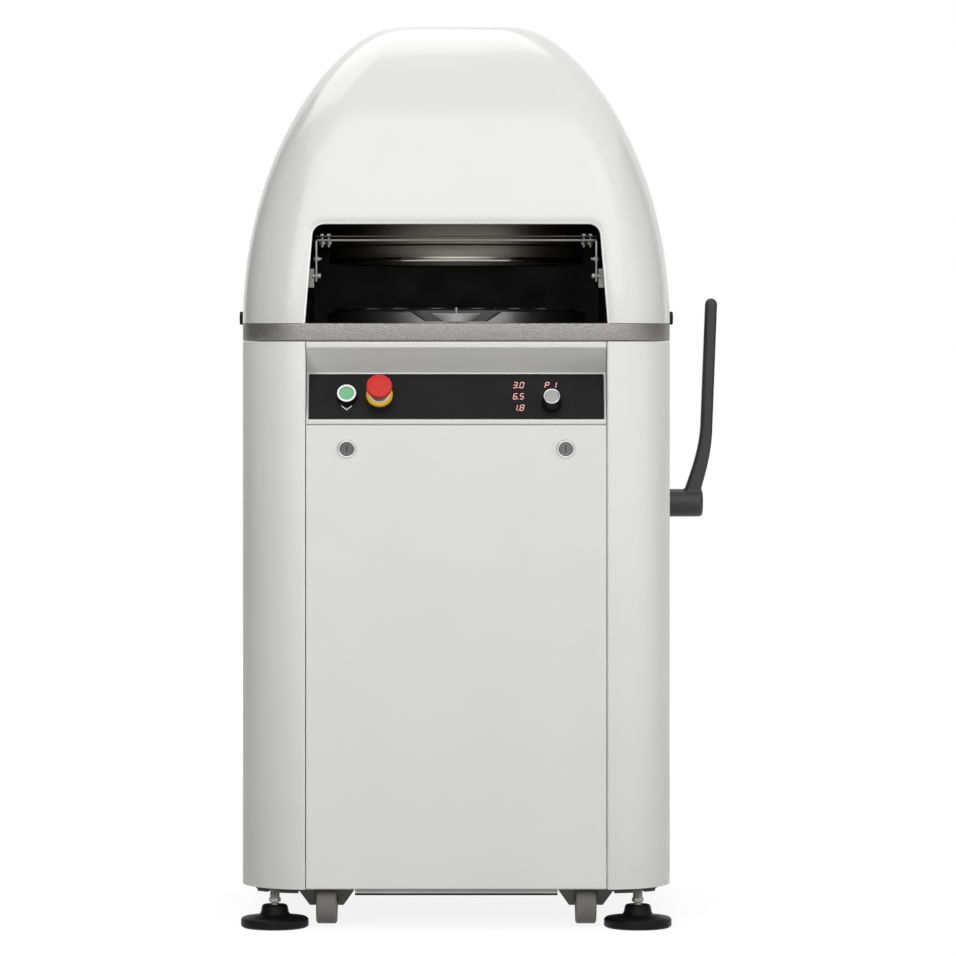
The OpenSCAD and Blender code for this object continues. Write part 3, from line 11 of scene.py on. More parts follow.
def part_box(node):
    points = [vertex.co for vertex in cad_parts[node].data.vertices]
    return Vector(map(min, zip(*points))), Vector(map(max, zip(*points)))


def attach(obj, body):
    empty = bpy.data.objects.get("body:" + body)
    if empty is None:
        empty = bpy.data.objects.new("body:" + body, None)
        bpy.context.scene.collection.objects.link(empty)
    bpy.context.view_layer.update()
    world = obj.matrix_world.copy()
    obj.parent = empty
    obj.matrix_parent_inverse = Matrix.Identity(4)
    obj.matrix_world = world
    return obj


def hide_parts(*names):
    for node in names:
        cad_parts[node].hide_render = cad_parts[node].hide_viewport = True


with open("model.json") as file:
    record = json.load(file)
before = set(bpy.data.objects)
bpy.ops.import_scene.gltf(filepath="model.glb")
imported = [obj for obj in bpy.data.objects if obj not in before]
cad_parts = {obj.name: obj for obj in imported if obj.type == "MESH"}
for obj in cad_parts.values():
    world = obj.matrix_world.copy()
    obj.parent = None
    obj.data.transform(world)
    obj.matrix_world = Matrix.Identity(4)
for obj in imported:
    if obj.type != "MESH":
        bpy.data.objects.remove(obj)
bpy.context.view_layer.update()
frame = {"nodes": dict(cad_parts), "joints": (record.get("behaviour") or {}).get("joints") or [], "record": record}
nodes = frame["nodes"]
joints = {joint["name"]: joint for joint in frame["joints"]}
slot_of = {part["node"]: part["material_slot"] for part in frame["record"]["subparts"]}

# Mesh helpers

WELD = 1e-6
SHARP_ANGLE = math.radians(38)
IDENTITY = Matrix.Identity(4)
UP = Vector((0, 0, 1))
SIDE_NAME = {-1: "left", 1: "right"}


def face_angle(edge):
    """Angle between the two faces at an edge, or a half turn at an open edge."""
    if len(edge.link_faces) != 2:
        return math.pi
    return edge.calc_face_angle(math.pi)


def new_object(name, mesh_data, finishes):
    """New object in the scene from a bmesh, which is freed, and the names of its finishes."""
    mesh = bpy.data.meshes.new(name)
    mesh_data.to_mesh(mesh)
    mesh_data.free()
    for finish in finishes:
        mesh.materials.append(PAINT[finish])
    made = bpy.data.objects.new(name, mesh)
    bpy.context.scene.collection.objects.link(made)
    return made


def make_piece(name, mesh_data, finishes, body, node=None):
    """New piece from a bmesh, smooth but for its sharp edges. It rides on a body and may replace a node."""
    bmesh.ops.remove_doubles(mesh_data, verts=mesh_data.verts, dist=WELD)
    bmesh.ops.recalc_face_normals(mesh_data, faces=mesh_data.faces)
    for face in mesh_data.faces:
        face.smooth = True
    for edge in mesh_data.edges:
        edge.smooth = face_angle(edge) < SHARP_ANGLE
    piece = new_object(name, mesh_data, finishes)
    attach(piece, body)
    if node:
        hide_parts(node)
    return piece


def middle(node):
    """Middle of a node's box."""
    low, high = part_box(node)
    return (low + high) / 2


def placed(origin, direction=UP):
    """Matrix that puts a form drawn along +Z at the origin to a place and along a direction."""
    turn = UP.rotation_difference(Vector(direction)).to_matrix().to_4x4()
    return Matrix.Translation(Vector(origin)) @ turn


def rounded(points, radius, steps=4, closed=True):
    """Outline whose corners are replaced by curves of about the given radius, as far as they fit."""
    count = len(points)
    reach_share = 0.45
    made = []
    for i, point in enumerate(points):
        corner = Vector(point)
        if not closed and i in (0, count - 1):
            made.append(corner)
            continue
        before = Vector(points[i - 1]) - corner
        after = Vector(points[(i + 1) % count]) - corner
        half_turn = before.angle(after) / 2
        reach = min(
            radius / max(math.tan(half_turn), WELD),
            reach_share * before.length,
            reach_share * after.length,
        )
        start = corner + before.normalized() * reach
        end = corner + after.normalized() * reach
        for step in range(steps + 1):
            t = step / steps
            made.append((1 - t) ** 2 * start + 2 * (1 - t) * t * corner + t * t * end)
    return made


def arc(centre, radius, start, end, steps):
    """Points of an arc, with angles in degrees."""
    turns = [math.radians(start + (end - start) * i / steps) for i in range(steps + 1)]
    return [Vector((centre[0] + radius * math.cos(a), centre[1] + radius * math.sin(a))) for a in turns]


def ring_at(place, radii, height):
    """Points round a place's own +Z at a height, one for each radius."""
    turns = [2 * math.pi * i / len(radii) for i in range(len(radii))]
    return [place @ Vector((r * math.cos(a), r * math.sin(a), height)) for r, a in zip(radii, turns)]


def ribbed_ring(place, radius, height, ribs, depth):
    """Ring of points with ribs: two points set in and two left out for each."""
    cuts = (depth, depth, 0.0, 0.0) * ribs
    return ring_at(place, [radius - cut for cut in cuts], height)


def ribbon(path, thickness):
    """Closed outline of a sheet bent along a path, with the sheet on the path's left."""
    inner = []
    for i, point in enumerate(path):
        before = path[max(i - 1, 0)]
        after = path[min(i + 1, len(path) - 1)]
        along = (after - before).normalized()
        inner.append(point + thickness * Vector((-along.y, along.x)))
    return list(path) + inner[::-1]


def skin(mesh_data, rings, round_about=True, ends=True, material=0):
    """Adds faces between neighbouring rings of points; round_about closes each ring, ends caps the stack."""
    made = [[mesh_data.verts.new(point) for point in ring] for ring in rings]
    count = len(made[0])
    for low, high in zip(made, made[1:]):
        for i in range(count if round_about else count - 1):
            j = (i + 1) % count
            mesh_data.faces.new((low[i], low[j], high[j], high[i])).material_index = material
    if ends:
        mesh_data.faces.new(made[0][::-1]).material_index = material
        mesh_data.faces.new(made[-1]).material_index = material
    return made


def turned(mesh_data, profile, place, steps, material=0):
    """Adds a turned form. Profile points are (radius, height) along the place's own +Z."""
    rings = []
    for radius, height in profile:
        if radius < WELD:
            rings.append([mesh_data.verts.new(place @ Vector((0, 0, height)))])
            continue
        rings.append([mesh_data.verts.new(point) for point in ring_at(place, [radius] * steps, height)])
    for low, high in zip(rings, rings[1:]):
        for i in range(steps):
            j = (i + 1) % steps
            corners = [low[i % len(low)], low[j % len(low)], high[j % len(high)], high[i % len(high)]]
            distinct = list(dict.fromkeys(corners))
            if len(distinct) > 2:
                mesh_data.faces.new(distinct).material_index = material


def prism(mesh_data, outline, low, high, place=IDENTITY, material=0):
    """Adds a prism over a flat outline, between two heights along the place's own +Z."""
    levels = [[place @ Vector((p[0], p[1], z)) for p in outline] for z in (low, high)]
    skin(mesh_data, levels, material=material)


def slab(mesh_data, low, high, edge, material=0):
    """Adds a box between two corners with rounded edges."""
    before = set(mesh_data.faces)
    outline = [(low[0], low[1]), (high[0], low[1]), (high[0], high[1]), (low[0], high[1])]
    prism(mesh_data, outline, low[2], high[2], material=material)
    fresh = [face for face in mesh_data.faces if face not in before]
    edges = list({e for face in fresh for e in face.edges})
    bmesh.ops.bevel(
        mesh_data, geom=edges, offset=edge, segments=2, profile=0.5, affect="EDGES", material=material
    )


def soften(mesh_data, edge):
    """Rounds every sharp edge of the form so far."""
    sharp = [e for e in mesh_data.edges if face_angle(e) > SHARP_ANGLE and len(e.link_faces) == 2]
    bmesh.ops.bevel(
        mesh_data, geom=sharp, offset=edge, segments=2, profile=0.5, affect="EDGES", clamp_overlap=True
    )


def hexagon(radius):
    """Outline of a hexagon."""
    return arc((0, 0), radius, 0, 300, 5)


def hexagon_form(mesh_data, place, radius, levels, material=0):
    """Adds a hexagon form. Levels are (share of the radius, height) along the place's own +Z."""
    rings = [[place @ Vector((x * s, y * s, z)) for x, y in hexagon(radius)] for s, z in levels]
    skin(mesh_data, rings, material=material)


def round_rect(half_w, low_y, high_y, radius, steps):
    """Rectangle with round corners, symmetric about the Y axis, anticlockwise from the front right."""
    corners = [
        (half_w - radius, low_y + radius, -90),
        (half_w - radius, high_y - radius, 0),
        (-half_w + radius, high_y - radius, 90),
        (-half_w + radius, low_y + radius, 180),
    ]
    return [p for x, y, start in corners for p in arc((x, y), radius, start, start + 90, steps)]


def bolt(mesh_data, place, head_r, head_h):
    """Adds a hexagon head with a bevelled crown."""
    crown_z = 0.75 * head_h
    crown_share = 0.86
    hexagon_form(mesh_data, place, head_r, ((1, 0), (1, crown_z), (crown_share, head_h)))


def pan_screw(mesh_data, place, head_r, head_h):
    """Adds a round screw head with a hexagon socket."""
    steps = 24
    top_r = 0.72 * head_r
    bed_h = 0.3 * head_h
    profile = [(head_r, 0), (head_r, 0.35 * head_h), (0.9 * head_r, 0.75 * head_h), (top_r, head_h)]
    turned(mesh_data, profile, place, steps)
    socket = hexagon(0.5 * head_r)
    repeat = steps // len(socket)
    mouth = [place @ Vector((x, y, head_h)) for x, y in socket for _ in range(repeat)]
    bed = [place @ Vector((x, y, bed_h)) for x, y in socket for _ in range(repeat)]
    skin(mesh_data, [ring_at(place, [top_r] * steps, head_h), mouth, bed], ends=False)
    mesh_data.faces.new([mesh_data.verts.new(point) for point in bed[::repeat]])


# Material helpers

PAINT = {}  # materials by name, filled by Finish
EVEN = (1, 1, 1)
NOISE_LOW = 0.3
NOISE_HIGH = 0.7
CLOUD_SCALE = 9
GLOSS_SCALE = 23
MARK_SCALE = 14
WEAR_SCALE = 31


def set_inputs(node, **values):
    """Sets inputs of a shader node by their names, with underscores for spaces."""
    for socket, value in values.items():
        node.inputs[socket.replace("_", " ")].default_value = value
    return node


def add_node(tree, kind, **values):
    """New shader node of a kind, with some of its inputs set."""
    return set_inputs(tree.nodes.new("ShaderNode" + kind), **values)


class Finish:
    """A material of PAINT with one Principled shader, and the textures that vary it."""

    def __init__(self, name, colour, roughness, **constants):
        PAINT[name] = bpy.data.materials.new(name)
        PAINT[name].use_nodes = True
        self.tree = PAINT[name].node_tree
        self.shader = self.tree.nodes["Principled BSDF"]
        set_inputs(self.shader, Base_Color=(*colour, 1), Roughness=roughness, **constants)
        self.colour = colour
        self.place = add_node(self.tree, "TexCoord").outputs["Object"]
        self.normal = None

    def noise(self, scale, detail, stretch=EVEN):
        """Noise over the piece's own space, in cycles per metre, stretched along its axes."""
        mapping = add_node(self.tree, "Mapping", Scale=stretch)
        texture = add_node(self.tree, "TexNoise", Scale=scale, Detail=detail)
        self.tree.links.new(self.place, mapping.inputs["Vector"])
        self.tree.links.new(mapping.outputs["Vector"], texture.inputs["Vector"])
        return texture.outputs["Fac"]

    def cells(self, scale):
        """Distance to the nearest of scattered points, in cells per metre."""
        texture = add_node(self.tree, "TexVoronoi", Scale=scale)
        self.tree.links.new(self.place, texture.inputs["Vector"])
        return texture.outputs["Distance"]

    def spread(self, fac, low, high):
        """Stretches the middle of a texture's values to the range low to high."""
        ramp = add_node(self.tree, "MapRange", From_Min=NOISE_LOW, From_Max=NOISE_HIGH)
        set_inputs(ramp, To_Min=low, To_Max=high)
        self.tree.links.new(fac, ramp.inputs["Value"])
        return ramp.outputs["Result"]

    def mottle(self, fac, other):
        """Mixes the colour with another one by a texture."""
        mix = add_node(self.tree, "Mix")
        mix.data_type = "RGBA"
        set_inputs(mix, A=(*self.colour, 1), B=(*other, 1))
        self.tree.links.new(self.spread(fac, 0, 1), mix.inputs["Factor"])
        self.tree.links.new(mix.outputs["Result"], self.shader.inputs["Base Color"])

    def patches(self, fac, low, high):
        """Varies the roughness by a texture."""
        self.tree.links.new(self.spread(fac, low, high), self.shader.inputs["Roughness"])

    def relief(self, fac, depth):
        """Adds a bump of the given depth in metres on top of those before it."""
        bump = add_node(self.tree, "Bump", Distance=depth)
        self.tree.links.new(fac, bump.inputs["Height"])
        if self.normal:
            self.tree.links.new(self.normal, bump.inputs["Normal"])
        self.normal = bump.outputs["Normal"]
        self.tree.links.new(self.normal, self.shader.inputs["Normal"])


def shade(colour, factor):
    """The colour made darker or lighter by a factor."""
    return tuple(min(1.0, channel * factor) for channel in colour)


def coated(name, colour, rough, grain, variation, **constants):
    """Paint or plastic: faint clouds of tone, patchy gloss and a fine grain."""
    grain_scale, grain_depth = grain
    finish = Finish(name, colour, rough[0], **constants)
    finish.mottle(finish.noise(CLOUD_SCALE, 4), shade(colour, variation))
    finish.patches(finish.noise(GLOSS_SCALE, 5), *rough)
    finish.relief(finish.noise(grain_scale, 2), grain_depth)


def metal(name, colour, rough, stretch, variation=0.8, scratch=0.00002):
    """Bare metal with drawn marks that run across the stretched axes."""
    finish = Finish(name, colour, rough[0], Metallic=1.0)
    marks = finish.noise(MARK_SCALE, 6, stretch)
    finish.mottle(marks, shade(colour, variation))
    finish.patches(finish.noise(WEAR_SCALE, 4, stretch), *rough)
    finish.relief(marks, scratch)


# Materials

# Grains of coats, as cycles per metre and depth in metres
ORANGE_PEEL = (260, 0.00004)
COARSE_PEEL = (260, 0.00012)
FINE_GRAIN = (1900, 0.00012)
FAINT_GRAIN = (1900, 0.00005)
PRINT_GRAIN = (1900, 0.00004)
PLASTIC_GRAIN = (1300, 0.00012)
SMOOTH_PLASTIC = (1300, 0.00004)
FASCIA_GRAIN = (2600, 0.00003)
LEVER_GRAIN = (2200, 0.00008)
CASTING_GRAIN = (420, 0.0004)
TYRE_GRAIN = (800, 0.0003)
RUBBER_GRAIN = (900, 0.0003)
MILL_DEPTH = 0.0001


def hammertone():
    """Hammered grey enamel: bright flakes and small dimples."""
    colour = (0.175, 0.172, 0.164)
    flake = (0.36, 0.355, 0.337)
    flake_scale, gloss_scale, dimple_scale = 640, 700, 420
    dimple_depth = 0.00045
    finish = Finish("hammertone", colour, 0.4, Metallic=0.7)
    finish.mottle(finish.noise(flake_scale, 4), flake)
    finish.patches(finish.noise(gloss_scale, 2), 0.3, 0.5)
    finish.relief(finish.cells(dimple_scale), dimple_depth)


def stainless():
    """Stainless steel brushed round an upright axis."""
    colour = (0.22, 0.205, 0.181)
    brushed, worn = (1, 1, 160), (1, 1, 60)
    line_depth = 0.000006
    finish = Finish("stainless", colour, 0.42, Metallic=1.0, Anisotropic=0.5)
    lines = finish.noise(5, 6, brushed)
    finish.mottle(lines, shade(colour, 0.85))
    finish.patches(finish.noise(7, 4, worn), 0.38, 0.5)
    finish.relief(lines, line_depth)


def lit(name, colour, strength):
    """Lit numerals: a glowing film with a faint grain."""
    finish = Finish(name, shade(colour, 0.4), 0.4, Emission_Color=(*colour, 1), Emission_Strength=strength)
    finish.mottle(finish.noise(900, 2), shade(colour, 0.3))


coated("white_paint", (0.70, 0.70, 0.686), (0.34, 0.46), FAINT_GRAIN, 0.975)
coated(
    "hood_white", (0.69, 0.69, 0.68), (0.28, 0.32), ORANGE_PEEL, 0.985,
    Coat_Weight=0.7, Coat_Roughness=0.05,
)
# Throat lip: whiter than the hood's own white, a painted highlight along the rolled edge.
coated("painted_highlight_white", (1.0, 1.0, 0.99), (0.28, 0.36), ORANGE_PEEL, 0.97)
coated("hood_inside", (0.02, 0.02, 0.02), (0.5, 0.7), FINE_GRAIN, 0.7)
hammertone()
coated("frame_paint", (0.010, 0.010, 0.0102), (0.45, 0.6), FINE_GRAIN, 0.7)
# Rails: white paint made lighter than the panels' white, partly painted light against the shade under the panels.
coated("rail_white_with_painted_light", (0.93, 0.93, 0.915), (0.4, 0.55), FINE_GRAIN, 0.9)
coated("black_plastic", (0.006, 0.006, 0.006), (0.4, 0.55), PLASTIC_GRAIN, 0.6, Specular_IOR_Level=0.15)
coated("fascia_black", (0.0085, 0.0085, 0.009), (0.3, 0.4), FASCIA_GRAIN, 0.8, Specular_IOR_Level=0.1)
coated("inner_plastic", (0.12, 0.12, 0.13), (0.5, 0.6), PLASTIC_GRAIN, 0.8)
coated("white_plastic", (0.93, 0.93, 0.915), (0.22, 0.3), ORANGE_PEEL, 0.97)
# E-stop neck: greenish grey darkened as painted shade under the mushroom head.
coated("pale_plastic", (0.24, 0.27, 0.21), (0.3, 0.4), ORANGE_PEEL, 0.9)
coated("yellow_plastic", (0.90, 0.52, 0.02), (0.3, 0.4), ORANGE_PEEL, 0.85)
coated("red_plastic", (0.60, 0.022, 0.016), (0.34, 0.46), ORANGE_PEEL, 0.9, Specular_IOR_Level=0.3)
# Start cap: the faint green emission is a painted glow that brightens the plastic.
coated(
    "green_plastic", (0.14, 0.45, 0.22), (0.25, 0.35), ORANGE_PEEL, 0.85,
    Emission_Color=(0.2, 0.7, 0.3, 1), Emission_Strength=0.06,
)
coated("black_paint", (0.006, 0.006, 0.006), (0.45, 0.6), FINE_GRAIN, 0.6)
coated("lever_black", (0.022, 0.022, 0.022), (0.36, 0.46), LEVER_GRAIN, 0.75, Specular_IOR_Level=0.5)
coated("motor_paint", (0.05, 0.07, 0.1), (0.35, 0.5), COARSE_PEEL, 0.85)
coated("grey_casting", (0.16, 0.16, 0.16), (0.5, 0.65), CASTING_GRAIN, 0.8)
coated("plate_plastic", (0.018, 0.018, 0.018), (0.16, 0.26), SMOOTH_PLASTIC, 0.7, Specular_IOR_Level=0.8)
coated("grip_plastic", (0.36, 0.36, 0.36), (0.22, 0.3), SMOOTH_PLASTIC, 0.85)
coated("cap_grey", (0.34, 0.34, 0.345), (0.3, 0.4), SMOOTH_PLASTIC, 0.85)
coated("wheel_grey", (0.195, 0.192, 0.176), (0.5, 0.7), TYRE_GRAIN, 0.8)
coated("belt_rubber", (0.02, 0.02, 0.02), (0.6, 0.8), RUBBER_GRAIN, 0.7)
coated("print_white", (0.8, 0.8, 0.8), (0.4, 0.5), PRINT_GRAIN, 0.9)
metal("chrome_trim", (0.70, 0.70, 0.69), (0.14, 0.24), EVEN, 0.92)
metal("bright_steel", (0.45, 0.45, 0.44), (0.22, 0.34), (1, 1, 40))
stainless()
metal("polished_steel", (0.42, 0.4, 0.37), (0.14, 0.22), (1, 1, 30), 0.9, 0.000004)
metal("zinc_steel", (0.30, 0.30, 0.285), (0.26, 0.42), EVEN, 0.75, MILL_DEPTH)
metal("bail_steel", (0.21, 0.2, 0.185), (0.32, 0.46), EVEN, 0.75, MILL_DEPTH)
coated("dull_zinc", (0.52, 0.52, 0.495), (0.42, 0.55), PLASTIC_GRAIN, 0.75, Metallic=0.3)
metal("dark_zinc", (0.07, 0.07, 0.067), (0.36, 0.5), EVEN, 0.7, MILL_DEPTH)
metal("lock_grey", (0.17, 0.17, 0.17), (0.45, 0.6), EVEN, 0.7, MILL_DEPTH)
metal("cast_aluminium", (0.34, 0.34, 0.344), (0.3, 0.42), (1, 1, 60), 0.8)
lit("numerals", (1.0, 0.46, 0.44), 0.8)

# Hood: bell with a rolled lip round its throat

HOOD_LEVELS = 80
HOOD_RISE_POWER = 2.01
HOOD_SIDE_POWER = 1.52
HOOD_FRONT_RISE_POWER = 1.8
HOOD_FRONT_POWER = 1.85
HOOD_BACK_POWER = 6
HOOD_BACK_ROUND_POWER = 2.2
HOOD_TOP_HALF = 0.102
HOOD_TOP_FRONT = 0.081
HOOD_TOP_BACK = 0.180
HOOD_TOP_DROP = 0.004
HOOD_CORNER = 0.100
HOOD_TOP_CORNER = 0.048
HOOD_WALL = 0.004
CORNER_STEPS = 9
THROAT_HALF = 0.231
THROAT_HEIGHT = 0.1516
THROAT_LEAN = 0.012
THROAT_CORNER = 0.018
THROAT_CORNER_STEPS = 16
FOLD_WIDTH = 0.012
FOLD_DEPTH = 0.0028
FOLD_STEPS = 5
LIP_RADIUS = 0.0022
LIP_STEPS = 6
LIP_FLANGE = 0.010
BAND_LEVEL = 24
BAND_STEPS = 8
TOP_STEPS = 60

hood_low, hood_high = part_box("hood_shell")
table_z = hood_low.z
hood_height = hood_high.z - hood_low.z - HOOD_TOP_DROP


def eased(low, high, rise, rise_power, round_power):
    """A size along a rounded curve, from its low value at the table to its high value at the top."""
    return high + (low - high) * max(0.0, 1 - rise**rise_power) ** (1 / round_power)


def bell_at(z):
    """Half width, front and corner radius of the bell at a height."""
    rise = min(1.0, max(0.0, (z - table_z) / hood_height))
    half = eased(hood_high.x, HOOD_TOP_HALF, rise, HOOD_RISE_POWER, HOOD_SIDE_POWER)
    front = eased(-hood_low.y, HOOD_TOP_FRONT, rise, HOOD_FRONT_RISE_POWER, HOOD_FRONT_POWER)
    corner = eased(HOOD_CORNER, HOOD_TOP_CORNER, rise, HOOD_RISE_POWER, HOOD_SIDE_POWER)
    return half, front, corner


def bell(level):
    """Height, half width, front, back and corner radius of the bell at a level from 0 to HOOD_LEVELS."""
    rise = math.sin(math.pi / 2 * level / HOOD_LEVELS) ** (2 / HOOD_RISE_POWER)
    z = table_z + hood_height * rise
    half, front, corner = bell_at(z)
    back = eased(hood_high.y, HOOD_TOP_BACK, rise, HOOD_BACK_POWER, HOOD_BACK_ROUND_POWER)
    return z, half, front, back, corner


def front_point(x, z):
    """Point of the bell's front at a place seen from the front."""
    half, front, corner = bell_at(z)
    over = max(0.0, abs(x) - (half - corner))
    return Vector((x, -front + corner - math.sqrt(max(0.0, corner**2 - over**2)), z))


def hood_ring(level, front_too):
    """Points round the bell by its back, between the middles of its two front corners.

    With front_too, the points along the front close the ring.
    """
    z, half, front, back, corner = bell(level)
    x = half - corner
    low = -front + corner
    high = back - corner
    outline = arc((x, low), corner, -45, 0, CORNER_STEPS)
    outline += arc((x, high), corner, 0, 90, 2 * CORNER_STEPS)
    outline += arc((-x, high), corner, 90, 180, 2 * CORNER_STEPS)
    outline += arc((-x, low), corner, 180, 225, CORNER_STEPS)
    ring = [Vector((p.x, p.y, z)) for p in outline]
    if front_too:
        edge = ring[-1].x
        xs = [edge * (1 - 2 * i / TOP_STEPS) for i in range(1, TOP_STEPS)]
        low_arc = [low - math.sqrt(max(0.0, corner**2 - max(0.0, abs(v) - x) ** 2)) for v in xs]
        ring += [Vector((v, y, z)) for v, y in zip(xs, low_arc)]
    return ring


def throat_path(grow):
    """Throat outline grown by a margin, as (x, z) above the table, from lower left to lower right."""
    lean = math.atan2(THROAT_LEAN, THROAT_HEIGHT)
    radius = THROAT_CORNER + grow
    top = THROAT_HEIGHT + grow
    side = grow / math.cos(lean)
    centre_z = top - radius
    centre_x = THROAT_HALF + side - math.tan(lean) * centre_z - radius / math.cos(lean)
    right = [Vector((THROAT_HALF + side, 0))]
    right += arc((centre_x, centre_z), radius, math.degrees(lean), 90, THROAT_CORNER_STEPS)
    left = [Vector((-p.x, p.y)) for p in right]
    return left + right[::-1]


def evenly(start, end, count):
    """Points at equal steps from a start to an end."""
    return [start.lerp(end, i / count) for i in range(count + 1)]


def throat_points(grow):
    """Points of the grown throat: left side up to mid corner, top, right side down from mid corner."""
    path = throat_path(grow)
    half_corner = THROAT_CORNER_STEPS // 2
    mid = half_corner + 1
    end = THROAT_CORNER_STEPS + 1
    left = evenly(path[0], path[1], BAND_LEVEL - half_corner) + path[2: mid + 1]
    straight = evenly(path[end], path[end + 1], TOP_STEPS - THROAT_CORNER_STEPS)
    top = path[mid:end] + straight + path[end + 2: len(path) - mid]
    right = [Vector((-p.x, p.y)) for p in left[::-1]]
    return left + top[1:-1] + right


def throat_band(outer):
    """Rows of points from the bell's edge to the throat: a band, then a shallow fold inside it."""
    inner = throat_points(LIP_RADIUS + FOLD_WIDTH)
    rows = []
    for step in range(BAND_STEPS):
        flat = [Vector((o.x, o.z - table_z)).lerp(i, step / BAND_STEPS) for o, i in zip(outer, inner)]
        rows.append([front_point(p.x, table_z + p.y) for p in flat])
    for step in range(FOLD_STEPS + 1):
        share = step / FOLD_STEPS
        grown = throat_points(LIP_RADIUS + FOLD_WIDTH * (1 - share))
        sunk = Vector((0, FOLD_DEPTH * share**2, 0))
        rows.append([front_point(g.x, table_z + g.y) + sunk for g in grown])
    return rows


def throat_lip(edge):
    """Rows of points that roll from the band's edge into the throat, with a flange behind them."""
    rows = [edge]
    for step in range(1, LIP_STEPS + 1):
        turn = math.pi / 2 * step / LIP_STEPS
        grown = throat_points(LIP_RADIUS * (1 - math.sin(turn)))
        depth = LIP_RADIUS * (1 - math.cos(turn))
        rows.append([Vector((g.x, e.y + depth, table_z + g.y)) for g, e in zip(grown, edge)])
    rows.append([p + Vector((0, LIP_FLANGE, 0)) for p in rows[-1]])
    return rows


def hood():
    """Bell, the band round its throat and the lip that rolls into it. The lip's brighter white is a painted
    highlight along the throat's edge.
    """
    form = bmesh.new()
    lower = [hood_ring(level, False) for level in range(BAND_LEVEL + 1)]
    upper = [hood_ring(level, True) for level in range(BAND_LEVEL, HOOD_LEVELS + 1)]
    skin(form, lower, round_about=False, ends=False)
    made = skin(form, upper, ends=False)
    form.faces.new(made[-1])
    outer = [ring[-1] for ring in lower] + upper[0][len(lower[0]):] + [ring[0] for ring in lower[::-1]]
    band = throat_band(outer)
    skin(form, band, round_about=False, ends=False)
    # The lip takes the brighter white, a painted highlight along the throat's edge.
    skin(form, throat_lip(band[-1]), round_about=False, ends=False, material=2)
    finishes = ["hood_white", "hood_inside", "painted_highlight_white", "hood_inside"]
    piece = make_piece("hood_skin", form, finishes, "hood", "hood_shell")
    wall = piece.modifiers.new("wall", "SOLIDIFY")
    wall.thickness = HOOD_WALL
    wall.offset = -1
    wall.material_offset = 1
    wall.material_offset_rim = 0


def hood_knob(side):
    """Fluted clamp knob with its shank through the hood."""
    name = SIDE_NAME[side] + "_hood_knob"
    low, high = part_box(name)
    centre = middle(name)
    radius = (high.z - low.z) / 2
    thick = 0.010
    flutes = 16
    flute_steps = 6
    flute_depth = 0.0009
    shank_r = 0.004
    outer = high.x if side > 0 else -low.x
    length = high.x - low.x
    place = placed((side * (outer - thick), centre.y, centre.z), (side, 0, 0))
    wave = [(1 + math.cos(2 * math.pi * i / flute_steps)) / 2 for i in range(flute_steps * flutes)]
    levels = ((0.92, 0.0), (1.0, 0.0012), (1.0, thick - 0.0015), (0.93, thick - 0.0003), (0.7, thick))
    form = bmesh.new()
    skin(form, [ring_at(place, [s * (radius - flute_depth * w) for w in wave], z) for s, z in levels])
    turned(form, [(shank_r, thick - length), (shank_r, 0.001)], place, steps=20)
    make_piece(name + "_grip", form, ["black_plastic"], SIDE_NAME[side] + "_knob", name)


# Cabinet skin and table

SHEET = 0.002
BEND = 0.003
CORNER_R = 0.100
FLANGE = 0.040
EDGE = 0.0006
panel_low, panel_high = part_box("right_side_panel")
seam_x = panel_high.x - CORNER_R


def side_panel(side):
    """Rounded sheet of one side, with both ends folded in."""
    front, back = panel_low.y, panel_high.y
    path = [Vector((seam_x, front + FLANGE))]
    path += arc((seam_x, front + CORNER_R), CORNER_R, -90, 0, 24)
    path += arc((seam_x, back - CORNER_R), CORNER_R, 0, 90, 24)
    path += [Vector((seam_x, back - FLANGE))]
    bent = [path[0]] + rounded(path[:3], BEND, closed=False)[1:-1] + path[2:-3]
    bent += rounded(path[-3:], BEND, closed=False)[:-1] + [path[-1]]
    outline = [Vector((side * p.x, p.y)) for p in ribbon(bent, SHEET)]
    form = bmesh.new()
    prism(form, outline, panel_low.z, panel_high.z)
    bmesh.ops.remove_doubles(form, verts=form.verts, dist=WELD)
    soften(form, EDGE)
    name = SIDE_NAME[side] + "_side_panel"
    make_piece(name + "_skin", form, ["white_paint"], "cabinet", name)


def swept_sheet(form, path, half):
    """Adds a sheet bent along a path of (y, z), swept along X."""
    across = Matrix(((0, 0, 1, 0), (1, 0, 0, 0), (0, 1, 0, 0), (0, 0, 0, 1)))
    prism(form, ribbon(rounded(path, BEND, closed=False), SHEET), -half, half, across)


def service_panel():
    """Lower front panel with a folded edge at its top and bottom."""
    low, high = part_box("front_service_panel")
    top_fold = 0.012
    form = bmesh.new()
    path = [(low.y + top_fold, high.z), (low.y, high.z), (low.y, low.z), (high.y, low.z)]
    swept_sheet(form, path, high.x)
    soften(form, EDGE)
    make_piece("service_panel_skin", form, ["white_paint"], "cabinet", "front_service_panel")


HAIRLINE = 0.0006
LIP_H = 0.009
SOFFIT_H = 0.039
RECESS_D = 0.036
FASCIA_H = 0.071
FASCIA_T = 0.003
fascia_normal = -Vector(joints["start_press"]["axis"])
fascia_tilt = math.atan2(RECESS_D, FASCIA_H)


def console():
    """Console sheet: lip, soffit, leaning bed of the fascia and sill."""
    low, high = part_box("console_housing")
    front = low.y
    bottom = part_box("front_service_panel")[1].z + HAIRLINE
    lip = high.z - LIP_H
    deep = lip - SOFFIT_H
    sill = deep - FASCIA_H
    shift = FASCIA_T / math.cos(fascia_tilt)
    path = [
        (front + FLANGE, high.z),
        (front, high.z),
        (front, lip),
        (front + RECESS_D + shift, deep),
        (front + shift, sill),
        (front, sill),
        (front, bottom),
        (front + FLANGE / 2, bottom),
    ]
    form = bmesh.new()
    swept_sheet(form, path, seam_x - SHEET / 2)
    soften(form, EDGE)
    make_piece("console_skin", form, ["white_paint"], "cabinet", "console_housing")


